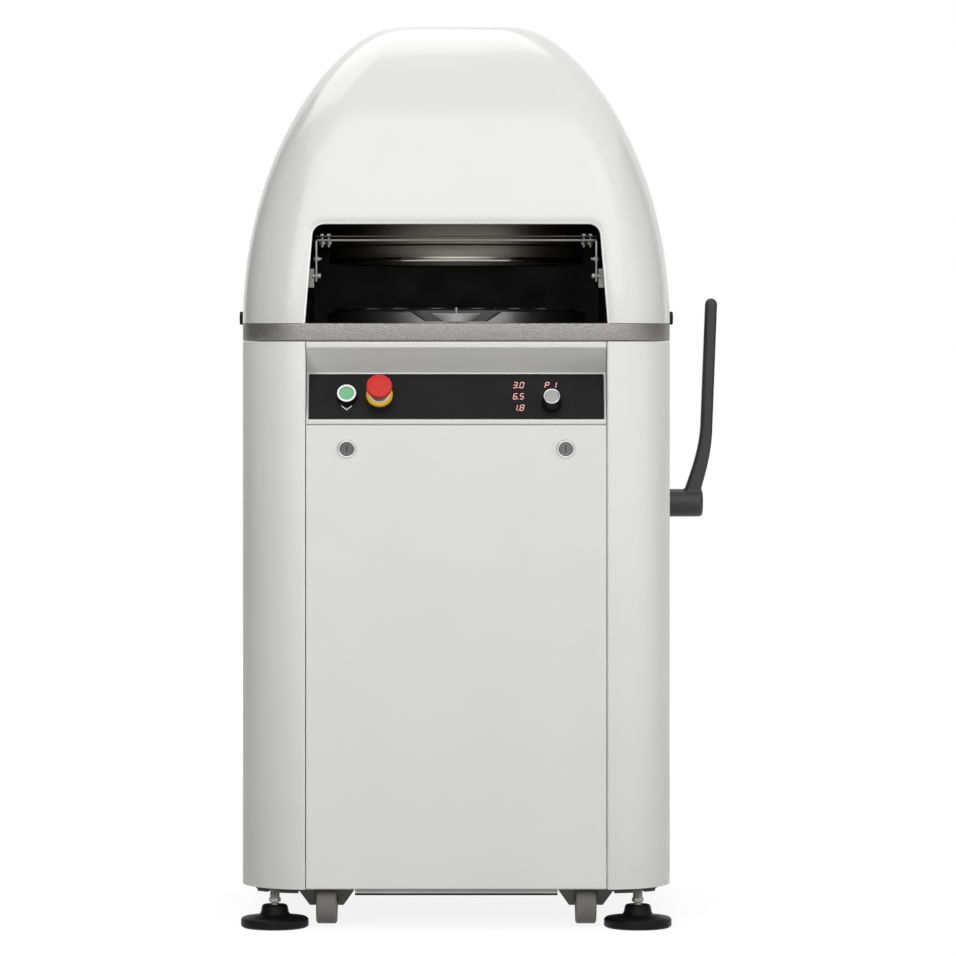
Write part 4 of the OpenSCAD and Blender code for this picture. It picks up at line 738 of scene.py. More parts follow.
def table():
    """Cast table ring with softly rounded edges."""
    low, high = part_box("table_ring")
    opening = 0.228
    edge = 0.0022
    steps = 4

    def outer(inset, z):
        outline = round_rect(high.x - inset, low.y + inset, high.y - inset, CORNER_R - inset, 16)
        return [Vector((p.x, p.y, z)) for p in outline]

    def inner(grow, z):
        directions = [Vector((p.x, p.y, 0)).normalized() for p in outer(0, z)]
        return [p * (opening + grow) + Vector((0, 0, z)) for p in directions]

    turns = [math.pi / 2 * i / steps for i in range(steps + 1)]
    rings = [outer(edge * (1 - math.sin(a)), low.z + edge * (1 - math.cos(a))) for a in turns]
    rings += [outer(edge * (1 - math.cos(a)), high.z - edge * (1 - math.sin(a))) for a in turns]
    rings += [inner(edge * (1 - math.sin(a)), high.z - edge * (1 - math.cos(a))) for a in turns]
    rings += [inner(0, low.z)]
    form = bmesh.new()
    skin(form, rings + [rings[0]], ends=False)
    make_piece("table_casting", form, ["hammertone"], "cabinet", "table_ring")


# Controls

fascia_face = middle("control_fascia") + fascia_normal * FASCIA_T / 2
fascia_up = Vector((0, math.sin(fascia_tilt), math.cos(fascia_tilt)))


def on_fascia(point):
    """Frame on the fascia's face: X to the right, Y up the slope, Z out, at the point's foot on the face."""
    foot = point - fascia_normal * (point - fascia_face).dot(fascia_normal)
    turn = Matrix((Vector((1, 0, 0)), fascia_up, fascia_normal)).transposed().to_4x4()
    return Matrix.Translation(foot) @ turn


def start_button():
    """White bezel on a black collar, with a sunk green cap whose faint green emission is a painted glow."""
    place = on_fascia(middle("start_button"))
    collar_r, collar_bore, collar_h = 0.0152, 0.0114, 0.0103
    bevel = 0.0005
    ring_r, ring_bore, ring_h = 0.0145, 0.0112, 0.0110
    cap_r, stem_r, cap_h = 0.0108, 0.0099, 0.0094
    collar = [
        (collar_bore, 0), (collar_r, 0), (collar_r, collar_h - bevel), (collar_r - bevel, collar_h),
        (collar_bore, collar_h),
    ]
    ring = [
        (ring_bore, 0.006), (ring_bore, 0.0106), (0.0116, ring_h), (0.0140, ring_h), (ring_r, 0.0107),
        (ring_r, 0.0102),
    ]
    form = bmesh.new()
    turned(form, rounded(collar, 0.0004), place, 64, material=1)
    turned(form, rounded(ring, 0.0006), place, 64)
    make_piece("start_bezel", form, ["white_plastic", "black_plastic"], "cabinet", "start_button_bezel")
    cap = [
        (stem_r, -0.008), (stem_r, 0.0060), (cap_r, 0.0064), (cap_r, 0.0086), (0.0100, cap_h),
        (0.0070, 0.0092), (0, 0.0090),
    ]
    form = bmesh.new()
    turned(form, rounded(cap, 0.0006, closed=False), place, 64)
    make_piece("start_cap", form, ["green_plastic"], "start", "start_button")


def emergency_stop():
    """Red mushroom head on a pale collar and a yellow ring; the collar's grey is darkened as painted shade under
    the head.
    """
    place = on_fascia(middle("estop_collar"))
    bore = 0.0093
    ring_h, edge_h, neck_h = 0.0075, 0.0090, 0.0202
    ring = [(bore, 0), (0.0202, 0), (0.0204, 0.0035), (0.0190, 0.0062), (0.0150, ring_h), (bore, ring_h)]
    edge = [(0.0130, 0.0070), (0.0156, 0.0070), (0.0156, 0.0082), (0.0148, edge_h), (0.0130, edge_h)]
    neck = [(bore, 0.005), (0.0142, 0.005), (0.0138, 0.0188), (0.0128, neck_h), (bore, neck_h)]
    form = bmesh.new()
    turned(form, rounded(ring, 0.0012), place, 72)
    # The neck's colour carries painted shade from the head above it.
    turned(form, rounded(neck, 0.0008), place, 72, material=1)
    turned(form, rounded(edge, 0.0005), place, 72, material=2)
    finishes = ["yellow_plastic", "pale_plastic", "white_plastic"]
    make_piece("estop_ring", form, finishes, "cabinet", "estop_collar")
    head = [
        (0, 0.0263), (0.0150, 0.0263), (0.0186, 0.0266), (0.0196, 0.0280),
        (0.0198, 0.0326), (0.0185, 0.0349), (0.0110, 0.0359), (0, 0.0363),
    ]
    form = bmesh.new()
    turned(form, rounded(head, 0.0022, 5, closed=False), place, 72)
    make_piece("estop_mushroom_head", form, ["red_plastic"], "estop_mushroom", "estop_head")


def selector():
    """Ribbed black knob with a silver cap in a bright ring."""
    place = on_fascia(middle("selector_cap"))
    ribs = 36
    rib_depth = 0.00035
    levels = ((0.0152, 0.002), (0.0155, 0.0035), (0.0147, 0.006), (0.0130, 0.0225), (0.0122, 0.0236))
    form = bmesh.new()
    skin(form, [ribbed_ring(place, radius, height, ribs, rib_depth) for radius, height in levels])
    make_piece("selector_grip", form, ["black_plastic"], "selector", "selector_knob")
    ring = [(0.0104, 0.0234), (0.0126, 0.0234), (0.0126, 0.0245), (0.0118, 0.0254), (0.0104, 0.0247)]
    face = [(0.0105, 0.0234), (0.0105, 0.0243), (0.0100, 0.0246), (0, 0.0249)]
    form = bmesh.new()
    turned(form, rounded(ring, 0.0005), place, 64)
    turned(form, rounded(face, 0.0004, closed=False), place, 64, material=1)
    make_piece("selector_disc", form, ["chrome_trim", "cap_grey"], "selector", "selector_cap")


SEGMENTS = {
    "0": "abcdef", "1": "bc", "3": "abcdg", "5": "acdfg", "6": "acdefg", "8": "abcdefg", "P": "abefg",
}
DIGIT_H = 0.0093
DIGIT_W = 0.0053
DIGIT_PITCH = 0.0101
STROKE = 0.0012
SLANT = math.tan(math.radians(11))
FILM = 0.00025


def segment(form, place, start, end):
    """Adds one lit bar with pointed ends between two points of the slanted digit."""
    along = (end - start).normalized()
    across = Vector((-along.y, along.x)) * STROKE / 2
    gap = along * STROKE * 0.15
    tip = along * STROKE / 2
    a, b = start + gap, end - gap
    outline = [a, a + tip + across, b - tip + across, b, b - tip - across, a + tip - across]
    leaning = [Vector((p.x + SLANT * p.y, p.y)) for p in outline]
    prism(form, leaning, FILM / 5, FILM, place)


def digit(form, sign, place):
    """Adds a seven-bar sign, centred on the place."""
    w, h = DIGIT_W / 2, DIGIT_H / 2
    ends = {
        "a": ((-w, h), (w, h)), "b": ((w, h), (w, 0)), "c": ((w, 0), (w, -h)), "d": ((-w, -h), (w, -h)),
        "e": ((-w, 0), (-w, -h)), "f": ((-w, h), (-w, 0)), "g": ((-w, 0), (w, 0)),
    }
    for bar in SEGMENTS[sign]:
        start, end = ends[bar]
        segment(form, place, Vector(start), Vector(end))


def numerals():
    """Three numeral lines at the left of the selector and a programme numeral above it."""
    lines = (("30", 0.0187), ("65", -0.0005), ("18", -0.0198))
    programme = (("P", 0.1388), ("1", 0.1500))
    first_x = 0.0902
    form = bmesh.new()
    for signs, v in lines:
        base = on_fascia(Vector((first_x, fascia_face.y, fascia_face.z))) @ Matrix.Translation((0, v, 0))
        for i, sign in enumerate(signs):
            digit(form, sign, base @ Matrix.Translation((i * DIGIT_PITCH, 0, 0)))
        point = base @ Matrix.Translation((DIGIT_PITCH / 2 - SLANT * DIGIT_H / 2, -DIGIT_H / 2, 0))
        prism(form, hexagon(STROKE * 0.6), FILM / 5, FILM, point)
    for sign, x in programme:
        base = on_fascia(Vector((x, fascia_face.y, fascia_face.z)))
        digit(form, sign, base @ Matrix.Translation((0, lines[0][1], 0)))
    make_piece("lit_numerals", form, ["numerals"], "cabinet")


def chevron():
    """Printed chevron under the start button."""
    below = 0.0208
    half, drop, stroke = 0.0078, 0.0068, 0.0014
    place = on_fascia(middle("start_button")) @ Matrix.Translation((0, -below, 0))
    outline = [(-half, drop / 2), (0, -drop / 2), (half, drop / 2), (half, drop / 2 + stroke)]
    outline += [(0, -drop / 2 + 1.25 * stroke), (-half, drop / 2 + stroke)]
    form = bmesh.new()
    prism(form, outline, FILM / 5, FILM, place)
    make_piece("start_chevron", form, ["print_white"], "cabinet")


def lock_rings():
    """Rounded bright rings round the two panel locks."""
    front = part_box("lock_bezels")[0].y
    depth = 0.003
    outer, bore = 0.0145, 0.0106
    ring = [(bore, 0), (outer, 0), (outer, 0.0010), (0.0128, depth), (0.0112, depth), (bore, 0.0022)]
    form = bmesh.new()
    for node in ("left_lock", "right_lock"):
        x, _, z = joints[node + "_turn"]["pos_m"]
        turned(form, rounded(ring, 0.0008), placed((x, front + depth, z), (0, -1, 0)), 64)
    make_piece("lock_rings", form, ["chrome_trim"], "cabinet", "lock_bezels")


def lock_face(side):
    """Dished face of a panel lock with its narrow key slot, a thin black film that is painted shade for the
    keyway's opening.
    """
    node = SIDE_NAME[side] + "_lock"
    body = "lock_" + SIDE_NAME[side]
    x, _, z = joints[node + "_turn"]["pos_m"]
    place = placed((x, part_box(node)[0].y, z), (0, -1, 0))
    dish = [(0.0102, 0), (0.0102, 0.0004), (0.0092, 0.0007), (0.0080, 0.0003), (0, 0.0002)]
    slot_half_w, slot_half_l = 0.0006, 0.006
    slot = round_rect(slot_half_w, -slot_half_l, slot_half_l, slot_half_w, 4)
    form = bmesh.new()
    turned(form, rounded(dish, 0.0003, closed=False), place, 48)
    # The slot is a black film on the face, painted shade where the keyway opens.
    prism(form, slot, 0.0001, 0.00035, place, material=1)
    make_piece(node + "_face", form, ["lock_grey", "black_plastic"], body)


# Hand lever

LEVER_ROOT = [Vector(p) for p in ((0.038, 0.0), (0.050, 0.040), (0.064, 0.075), (0.066, 0.120))]
LEVER_ROOT_HALF = 0.013
LEVER_TIP_X = 0.0735
LEVER_VOXEL = 0.0016


def lever_line(half_w, tip):
    """The arm's middle line as (point, half width): a bend out of the boss, then straight to its tip."""
    bend_steps = 14
    arm_steps = 8
    line = []
    for i in range(bend_steps + 1):
        u = i / bend_steps
        weights = ((1 - u) ** 3, 3 * (1 - u) ** 2 * u, 3 * (1 - u) * u * u, u**3)
        point = sum((w * p for w, p in zip(weights, LEVER_ROOT)), Vector((0, 0)))
        line.append((point, LEVER_ROOT_HALF + (half_w - LEVER_ROOT_HALF) * u))
    return line + [(LEVER_ROOT[-1].lerp(tip, i / arm_steps), half_w) for i in range(1, arm_steps + 1)]


def lever():
    """Bent arm with rounded edges, blended into its boss."""
    pivot = Vector(joints["lever_pull"]["pos_m"])
    half_d = 0.013
    half_w = 0.0095
    edge = 0.0055
    tip_turns = (25, 50, 70, 84)
    tip = Vector((LEVER_TIP_X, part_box("lever_arm")[1].z - pivot.z - half_w))
    line = lever_line(half_w, tip)

    def cut(point, along, half, deep):
        section = round_rect(half, -deep, deep, min(edge, half), 5)
        return [pivot + Vector((point.x + along.y * p.x, p.y, point.y - along.x * p.x)) for p in section]

    rings = []
    for i, (point, half) in enumerate(line):
        before = line[max(i - 1, 0)][0]
        after = line[min(i + 1, len(line) - 1)][0]
        along = (after - before).normalized()
        rings.append(cut(point, along, half, half_d))
    for turn in tip_turns:
        shrink = math.cos(math.radians(turn))
        rise = half_w * math.sin(math.radians(turn))
        rings.append(cut(tip + along * rise, along, half_w * shrink, half_d - half_w * (1 - shrink) / 2))
    form = bmesh.new()
    skin(form, rings)
    boss_r, boss_gap, boss_l = 0.0220, 0.0015, 0.0610
    boss = [
        (0, boss_gap), (boss_r - 0.0005, boss_gap), (boss_r, 0.0025), (boss_r, 0.0555), (0.0195, 0.0600),
        (0, boss_l),
    ]
    turned(form, rounded(boss, 0.003, 5, closed=False), placed(pivot, (1, 0, 0)), 64)
    piece = make_piece("lever_casting", form, ["lever_black"], "lever", "lever_arm")
    blend = piece.modifiers.new("blend", "REMESH")
    blend.mode = "VOXEL"
    blend.voxel_size = LEVER_VOXEL
    blend.use_smooth_shade = True
    ease = piece.modifiers.new("ease", "SMOOTH")
    ease.factor = 0.5
    ease.iterations = 7


# Feet and castors

FOOT_NAMES = ("front_left", "front_right", "rear_left", "rear_right")
THREAD_PITCH = 0.002
THREAD_DEPTH = 0.0006
SPINDLE_R = 0.0076
PAD_H = 0.035
FOOT_HEX_R = 0.009
FOOT_HEX_Z = 0.0385
FOOT_HEX_H = 0.007


def thread(form, place, radius, low, high, material):
    """Adds a true thread: a grid whose radius follows a helix."""
    around = 28
    per_turn = 6
    rows = int((high - low) / THREAD_PITCH * per_turn)
    rings = []
    for row in range(rows + 1):
        z = low + (high - low) * row / rows
        phases = [(z / THREAD_PITCH - i / around) % 1.0 for i in range(around)]
        rings.append(ring_at(place, [radius - THREAD_DEPTH * abs(2 * phase - 1) for phase in phases], z))
    skin(form, rings, material=material)


def foot(corner):
    """Levelling foot: black pad with a rolled rim, zinc spindle with its hexagon."""
    node = corner + "_foot"
    low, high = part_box(node)
    centre = middle(node)
    place = placed((centre.x, centre.y, low.z))
    radius = (high.x - low.x) / 2
    pad = [
        (0, 0), (radius - 0.0035, 0), (radius, 0.0025), (radius, 0.0128), (radius - 0.003, 0.0155),
        (radius - 0.010, 0.0164), (0.0285, 0.0182), (0.0236, 0.0198), (0.0214, 0.0240), (0.0203, 0.0300),
        (0.0192, 0.0335), (0.0172, PAD_H), (0.0080, PAD_H), (0.0080, 0.0255), (0, 0.0255),
    ]
    form = bmesh.new()
    turned(form, rounded(pad, 0.0022, closed=False), place, 96)
    bevel = 0.001
    top = FOOT_HEX_Z + FOOT_HEX_H
    levels = ((0.88, FOOT_HEX_Z), (1, FOOT_HEX_Z + bevel), (1, top - bevel), (0.88, top))
    hexagon_form(form, place, FOOT_HEX_R, levels, material=1)
    ball = [
        (0, 0.026), (0.0050, 0.027), (0.0060, 0.0300), (0.0050, 0.0345), (0.0056, FOOT_HEX_Z), (0.0060, top),
    ]
    turned(form, rounded(ball, 0.002, closed=False), place, 32, material=1)
    thread(form, place, SPINDLE_R, top - bevel, high.z - low.z, 1)
    make_piece(node + "_turned", form, ["black_plastic", "dull_zinc"], corner + "_leveller", node)


def wheel(corner):
    """Castor wheel: grey tyre, dished hub and a raised ring at each side."""
    node = corner + "_wheel"
    low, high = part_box(node)
    place = placed(middle(node), (1, 0, 0))
    radius = (high.z - low.z) / 2
    half = (high.x - low.x) / 2
    bore = 0.0052
    profile = [
        (bore, -half), (0.0095, -half), (0.0105, -half + 0.004), (0.0220, -half + 0.0045),
        (0.0245, -half + 0.0005), (radius - 0.003, -half), (radius, -half + 0.0025), (radius, -half + 0.006),
    ]
    profile += [(r, -z) for r, z in profile[::-1]]
    form = bmesh.new()
    turned(form, rounded(profile, 0.0016, closed=False), place, 72)
    turned(form, [(bore, -half), (bore, half)], place, 72)
    make_piece(node + "_tyre", form, ["wheel_grey"], corner + "_castor", node)


# Working space behind the throat


def press_ring():
    """Stainless ring with a groove and a rolled lower bead."""
    low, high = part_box("press_ring")
    centre = middle("press_ring")
    bead_r = high.x
    wall_r = bead_r - 0.0012
    inner = wall_r - 0.0075
    groove_r = wall_r - 0.0018
    height = high.z - low.z
    wall = [
        (wall_r + 0.0003, 0.0085), (wall_r, 0.0140), (wall_r, 0.0265), (groove_r, 0.0285),
        (groove_r, 0.0350), (wall_r, 0.0370), (wall_r, height), (inner, height), (inner, 0.002),
    ]
    bead = [
        (inner, 0.002), (inner + 0.002, 0), (bead_r - 0.0015, 0), (bead_r - 0.0003, 0.0020),
        (bead_r, 0.0040), (bead_r - 0.0003, 0.0052), (wall_r + 0.0003, 0.0085),
    ]
    place = placed((centre.x, centre.y, low.z))
    form = bmesh.new()
    turned(form, rounded(wall, 0.0022, 4, closed=False), place, 192)
    turned(form, rounded(bead, 0.0016, 4, closed=False), place, 192, material=1)
    make_piece("press_ring_turned", form, ["stainless", "polished_steel"], "press", "press_ring")


def bail():
    """Safety bail: two arms, a lower and an upper strip, hexagon bolts and stop screws."""
    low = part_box("guard_frame")[0]
    y = middle("guard_frame").y
    reach = 0.2165
    thick = 0.003
    half = 0.010
    edge = 0.0005
    bar_z = 1.054
    strip_step = 0.0065
    upper_z = bar_z + strip_step
    upper_t = 0.002
    bolts = (0.196, 0.206)
    bolt_r, head_h, nut_h = 0.0048, 0.0035, 0.0050
    shank = [(0.0025, -0.002), (0.0025, strip_step + 0.001)]
    bolt_end = [(0, 0.009), (0.0022, 0.009), (0.0022, 0)]
    stop_end = [(0, 0.0065), (0.0024, 0.0065), (0.0024, 0)]
    screw_rise = 0.026
    screw_z = joints["bail_swing"]["pos_m"][2] + screw_rise
    form = bmesh.new()
    slab(form, (-reach, y - half, bar_z), (reach, y + half, bar_z + thick), edge, 1)
    slab(form, (-reach, y - half, upper_z), (reach, y + half, upper_z + upper_t), edge, 2)
    for side in (-1, 1):
        x_pair = sorted((side * (reach - thick), side * reach))
        slab(form, (x_pair[0], y - half, low.z), (x_pair[1], y + half, bar_z + thick), edge)
        for x in bolts:
            below = placed((side * x, y, bar_z), (0, 0, -1))
            bolt(form, placed((side * x, y, upper_z + upper_t)), bolt_r, head_h)
            bolt(form, below, bolt_r, nut_h)
            turned(form, shank, placed((side * x, y, bar_z)), 16)
            turned(form, bolt_end, below, 16)
        inside = placed((side * (reach - thick), y, screw_z), (-side, 0, 0))
        bolt(form, placed((side * reach, y, screw_z), (side, 0, 0)), bolt_r, head_h)
        bolt(form, inside, bolt_r, head_h)
        turned(form, stop_end, inside, 16)
    make_piece("bail_frame", form, ["zinc_steel", "bail_steel", "dark_zinc"], "bail", "guard_frame")


def moulding_plate():
    """Black plate with thirty shallow pockets inside rounded rims."""
    low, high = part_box("moulding_plate")
    radius = (high.x - low.x) / 2
    rim_h = 0.003
    bands = ((4, 0.045), (10, 0.104), (16, 0.162))
    pocket_r = 0.026
    wall = 0.002
    base = high.z - rim_h
    form = bmesh.new()
    plate = [(0, low.z), (radius, low.z), (radius, base - 0.0015), (radius - 0.0015, base), (0, base)]
    turned(form, plate, IDENTITY, 128)
    rim = [
        (pocket_r + wall + 0.002, 0), (pocket_r + wall, 0.0012), (pocket_r + wall, rim_h - 0.0008),
        (pocket_r + wall / 2, rim_h), (pocket_r, rim_h - 0.0008), (pocket_r - 0.001, 0.0006),
    ]
    for count, ring_r in bands:
        for i in range(count):
            turn = math.radians((i + 0.5) * 360 / count)
            place = placed((ring_r * math.cos(turn), ring_r * math.sin(turn), base))
            turned(form, rounded(rim, 0.0006, 2, closed=False), place, 40)
    make_piece("moulding_plate_pockets", form, ["plate_plastic"], "carrier", "moulding_plate")


def plate_grip():
    """Light grip with a bowed front in the carrier's notch, with its upright pin."""
    low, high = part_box("plate_grip")
    top_half = high.x
    low_half = 0.020
    height = 0.013
    pin_l = 0.009
    pin_r = 0.0015
    edge = 0.0015
    top = high.z - pin_l
    depth = high.y - low.y
    bulge = 0.6 * depth
    steps = 16
    form = bmesh.new()
    rings = []
    for i in range(steps + 1):
        share = 2 * i / steps - 1
        front = low.y + bulge * share * share
        corners = [
            (low_half * share, front, top - height), (top_half * share, front, top - edge),
            (top_half * share, front + edge, top), (top_half * share, high.y, top),
            (low_half * share, high.y, top - height),
        ]
        rings.append([Vector(corner) for corner in corners])
    skin(form, rings)
    pin = [(pin_r, -0.002), (pin_r, pin_l - 0.001), (pin_r - 0.0007, pin_l), (0, pin_l)]
    turned(form, pin, placed((0, middle("plate_grip").y, top)), 20)
    make_piece("plate_grip_shaped", form, ["grip_plastic"], "carrier", "plate_grip")


# Rear details


def louvres():
    """Pressed lips over the slots of the rear panel."""
    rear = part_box("rear_panel")[1].y
    columns = (-0.080, 0.080)
    width, height, pitch, count = 0.120, 0.008, 0.022, 9
    first_z = 0.560
    depth = 0.006
    overlap = 0.003
    thick = 0.0012
    shoulder = 0.94
    end_draw = 0.25
    steps = 6
    turns = [math.pi / 2 * i / steps for i in range(steps + 1)]
    form = bmesh.new()
    for x in columns:
        for i in range(count):
            z = first_z + i * pitch
            path = [Vector((depth * math.sin(a), z + (height + overlap) * math.cos(a))) for a in turns]
            rings = []
            for share, draw in ((-1, end_draw), (-shoulder, 1), (shoulder, 1), (1, end_draw)):
                edge = x + share * (width / 2 + overlap)
                rings.append([Vector((edge, rear + p.x * draw, p.y)) for p in ribbon(path, -thick)])
            skin(form, rings)
    make_piece("rear_louvres", form, ["white_paint"], "cabinet")


def rear_screws():
    """Screws along both sides of the rear panel."""
    low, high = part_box("rear_panel")
    side_gap = 0.014
    end_gap = 0.03
    rows = 4
    head_r, head_h = 0.005, 0.003
    form = bmesh.new()
    for x in (low.x + side_gap, high.x - side_gap):
        for i in range(rows):
            z = low.z + end_gap + (high.z - low.z - 2 * end_gap) * i / (rows - 1)
            pan_screw(form, placed((x, high.y, z), (0, 1, 0)), head_r, head_h)
    make_piece("rear_panel_screws", form, ["zinc_steel"], "cabinet")


def cable_gland():
    """Inlet gland: hexagon body, ribbed cap nut and an open bore."""
    low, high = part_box("cable_gland")
    centre = middle("cable_gland")
    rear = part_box("rear_panel")[1].y
    radius = (high.x - low.x) / 2
    length = high.y - rear
    inside = low.y - rear
    bore = 0.005
    bore_depth = 0.02
    body_h = 0.007
    ribs, rib_depth = 12, 0.0004
    place = placed((centre.x, rear, centre.z), (0, 1, 0))
    form = bmesh.new()
    hexagon_form(form, place, radius, ((0.9, 0), (1, 0.0008), (1, 0.0062), (0.9, body_h)))
    cap = ((0.0125, body_h), (0.0132, 0.0078), (0.0130, length - 0.004), (0.0095, length))
    rings = [ribbed_ring(place, r, z, ribs, rib_depth) for r, z in cap]
    rings += [ribbed_ring(place, bore, z, ribs, 0.0) for z in (length, length - bore_depth)]
    skin(form, rings, ends=False)
    turned(form, [(bore, inside), (radius, inside), (radius, -SHEET), (bore, -SHEET)], place, 6)
    make_piece("cable_gland_moulded", form, ["black_plastic"], "cabinet", "cable_gland")


# Parts of carried-over solids that have a finish of their own, with painted shade and painted light on some


def notch_painted_shade():
    """Flanks of the carrier's front notch painted black: painted shade for the dark gap of the notch, not a colour
    of the carrier.
    """
    solid = nodes["plate_carrier"]
    # Black here is painted shade on faces that lean up towards the light.
    solid.data.materials.append(PAINT["black_plastic"])
    least_lean = 0.3
    for face in solid.data.polygons:
        leaning = abs(face.normal.x) > least_lean and face.normal.z > least_lean
        if leaning and face.center.y < 0:
            face.material_index = 1


CAST_EDGE = 0.0012
CAST_NODES = (
    "head_bridge", "rear_column", "press_cylinder", "guard_brackets", "hood_brackets", "castor_forks",
)


def cast_edges(node):
    """Softly broken edges on a carried-over solid."""
    broken = nodes[node].modifiers.new("broken_edges", "BEVEL")
    broken.width = CAST_EDGE
    broken.segments = 2
    broken.limit_method = "ANGLE"
    broken.angle_limit = SHARP_ANGLE
    broken.use_clamp_overlap = True


RAIL_HALF = 0.155
RAIL_EDGE_H = 0.003


def rail_finish():
    """Light paint on the upright faces of the two rails, which are one solid with the dark base frame. It is
    lighter than the panels' white: painted light against the shade under the panels.
    """
    solid = nodes["base_frame"]
    # This white is lighter than the panels' own, painted light for the shaded rails.
    solid.data.materials.append(PAINT["rail_white_with_painted_light"])
    least_upright = 0.9
    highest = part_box("castor_forks")[1].z
    for face in solid.data.polygons:
        upright = abs(face.normal.y) > least_upright
        if upright and abs(face.center.x) < RAIL_HALF and face.center.z < highest:
            face.material_index = 1


def rail_edges():
    """Black strip along the lower edge of each rail."""
    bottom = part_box("base_frame")[0].z - 0.6 * RAIL_EDGE_H
    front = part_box("front_service_panel")[1].y
    sunk = 0.0004
    proud = 0.002
    edge = 0.0003
    form = bmesh.new()
    for side in (-1, 1):
        y_pair = sorted((side * (front - sunk), side * (front + proud)))
        slab(form, (-RAIL_HALF, y_pair[0], bottom), (RAIL_HALF, y_pair[1], bottom + RAIL_EDGE_H), edge)
    make_piece("rail_edges", form, ["black_plastic"], "cabinet")


# Carried-over solids take the finish of their slot

for node, solid in nodes.items():
    solid.data.materials.clear()
    solid.data.materials.append(PAINT[slot_of[node]])
nodes["castor_forks"].data.materials[0] = PAINT["dark_zinc"]
rail_finish()
notch_painted_shade()
for node in CAST_NODES:
    cast_edges(node)

hood()
for side in (-1, 1):
    hood_knob(side)
    side_panel(side)
service_panel()
console()
table()
start_button()
emergency_stop()
selector()
numerals()
chevron()
lock_rings()
for side in (-1, 1):
    lock_face(side)
lever()
for corner in FOOT_NAMES:
    foot(corner)
    wheel(corner)
press_ring()
bail()
moulding_plate()
plate_grip()
rail_edges()
louvres()
rear_screws()
cable_gland()

# Light, floor and camera

WHITE = (1, 1, 1, 1)


def area_light(name, place, target, width, height, radiance):
    """Soft rectangular lamp that points at a target; radiance is its brightness seen directly."""
    lamp = bpy.data.lights.new(name, "AREA")
    lamp.shape = "RECTANGLE"
    lamp.size = width
    lamp.size_y = height
    lamp.energy = radiance * math.pi * width * height
    stand = bpy.data.objects.new(name, lamp)
    stand.location = place
    stand.rotation_euler = (Vector(target) - Vector(place)).to_track_quat("-Z", "Y").to_euler()
    stand.visible_camera = False
    bpy.context.scene.collection.objects.link(stand)


def seen_directly(tree):
    """One where a ray comes from the camera, a gloss or a clear body, else zero."""
    path = add_node(tree, "LightPath")
    total = path.outputs["Is Camera Ray"]
    for other in ("Is Glossy Ray", "Is Transmission Ray"):
        larger = add_node(tree, "Math")
        larger.operation = "MAXIMUM"
        tree.links.new(total, larger.inputs[0])
        tree.links.new(path.outputs[other], larger.inputs[1])
        total = larger.outputs["Value"]
    return total


def white_world(fill):
    """White surroundings for the eye and for gloss, and a plain fill for the rest."""
    world = bpy.data.worlds.new("studio")
    bpy.context.scene.world = world
    world.use_nodes = True
    tree = world.node_tree
    background = set_inputs(tree.nodes["Background"], Color=WHITE)
    level = add_node(tree, "MapRange", To_Min=fill, To_Max=1.0)
    tree.links.new(seen_directly(tree), level.inputs["Value"])
    tree.links.new(level.outputs["Result"], background.inputs["Strength"])


def staged_card(name, corners, seen):
    """Flat card with the finish of its own name, which belongs to the set and not to the part."""
    form = bmesh.new()
    form.faces.new([form.verts.new(corner) for corner in corners])
    card = new_object(name, form, [name])
    card.visible_camera = seen


def floor():
    """Pale floor that keeps the object's shadow and runs into the white background further off."""
    size = 20
    tone = 0.19
    near, far = 1.0, 4.0
    near_lift, far_lift = 0.875, 1.0
    finish = Finish("floor", (tone, tone, tone), 0.9, Specular_IOR_Level=0.0, Emission_Color=WHITE)
    tree = finish.tree
    distance = add_node(tree, "VectorMath")
    distance.operation = "LENGTH"
    tree.links.new(finish.place, distance.inputs[0])
    lift = add_node(tree, "MapRange", From_Min=near, From_Max=far, To_Min=near_lift, To_Max=far_lift)
    tree.links.new(distance.outputs["Value"], lift.inputs["Value"])
    glow = add_node(tree, "Math")
    glow.operation = "MULTIPLY"
    tree.links.new(seen_directly(tree), glow.inputs[0])
    tree.links.new(lift.outputs["Result"], glow.inputs[1])
    tree.links.new(glow.outputs["Value"], finish.shader.inputs["Emission Strength"])
    corners = [(-size, -size, 0), (size, -size, 0), (size, size, 0), (-size, size, 0)]
    staged_card("floor", corners, seen=True)


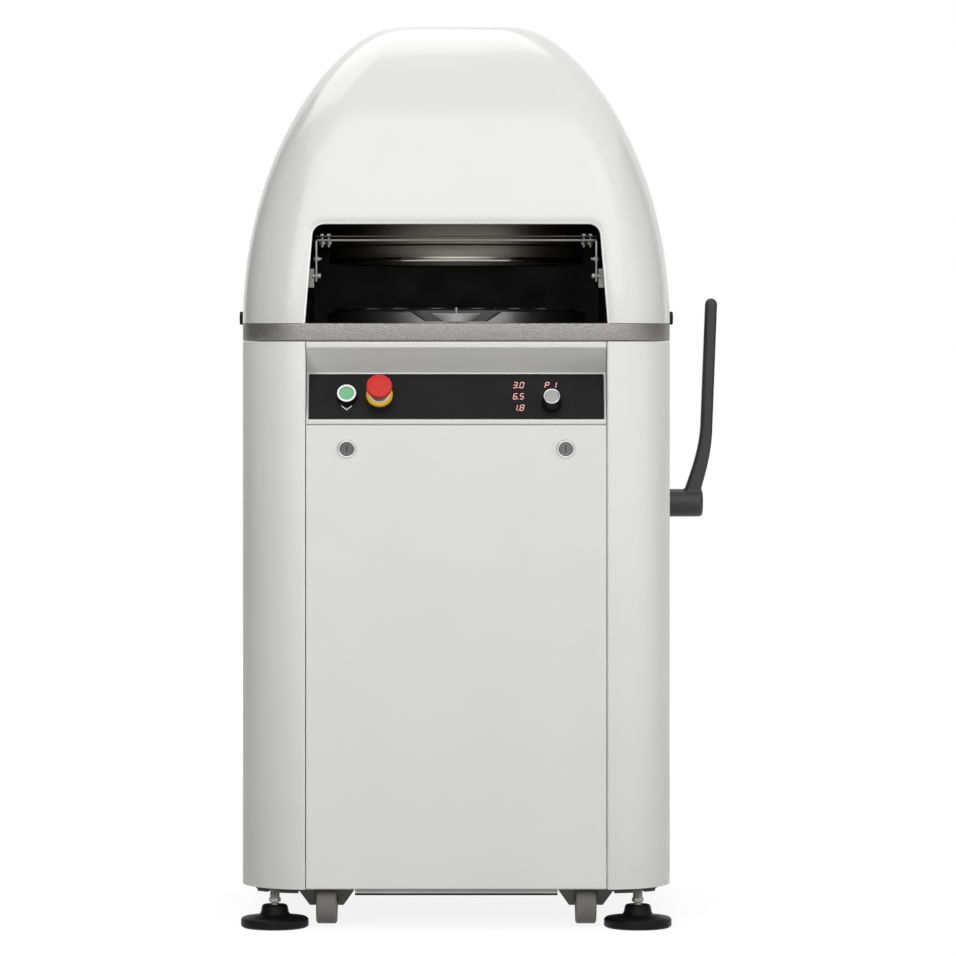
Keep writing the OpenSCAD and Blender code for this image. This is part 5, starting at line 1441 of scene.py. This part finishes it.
def flag(name, x, low_y, high_y, height, tone):
    """Dark card at one side of the set, out of the camera's sight, that keeps the sides from going white."""
    Finish(name, (tone, tone, tone), 1.0)
    corners = [(x, low_y, 0), (x, high_y, 0), (x, high_y, height), (x, low_y, height)]
    staged_card(name, corners, seen=False)


FILL = 0.22
white_world(FILL)
floor()
flag("left_flag", -3.6, -5.0, 4.0, 5.0, 0.08)
flag("right_flag", 5.2, -3.0, 4.0, 5.0, 0.15)
area_light("front_softbox", (0.6, -8.8, 6.6), (0.3, 0.0, 1.0), 13.0, 9.5, 1.38)
area_light("front_fill", (3.8, -6.0, 1.9), (0.0, 0.0, 0.8), 9.0, 2.8, 0.85)
area_light("top_softbox", (-0.9, 1.2, 4.4), (0.0, 0.2, 1.0), 4.0, 3.0, 1.6)
area_light("left_fill", (-2.7, -5.6, 2.4), (0.0, 0.0, 0.7), 2.4, 2.0, 9.2)
area_light("right_fill", (5.0, -1.6, 1.3), (0.0, 0.0, 0.8), 3.0, 2.6, 5.4)
area_light("rear_fill", (1.0, 6.5, 2.6), (0.0, 0.0, 0.8), 6.0, 3.0, 1.3)
for name in ("front_fill", "left_fill", "right_fill", "rear_fill"):
    bpy.data.objects[name].visible_glossy = False

EYE_HEIGHT = 0.887
EYE_DISTANCE = 7.2
SENSOR = 0.036
MM_PER_M = 1000
FRAME_PIXELS = 956
METRES_PER_PIXEL = 0.001525
AXIS_PIXEL = (456.3, 350)
lens = EYE_DISTANCE / (METRES_PER_PIXEL * FRAME_PIXELS) * SENSOR
camera = bpy.data.cameras.new("camera")
camera.sensor_width = SENSOR * MM_PER_M
camera.lens = lens * MM_PER_M
camera.shift_x = (FRAME_PIXELS / 2 - AXIS_PIXEL[0]) / FRAME_PIXELS
camera.shift_y = (AXIS_PIXEL[1] - FRAME_PIXELS / 2) / FRAME_PIXELS
camera.clip_end = 100
eye = bpy.data.objects.new("camera", camera)
eye.location = (0, panel_low.y - EYE_DISTANCE, EYE_HEIGHT)
eye.rotation_euler = (math.pi / 2, 0, 0)
bpy.context.scene.collection.objects.link(eye)
bpy.context.scene.camera = eye
bpy.context.scene.view_settings.view_transform = "Standard"
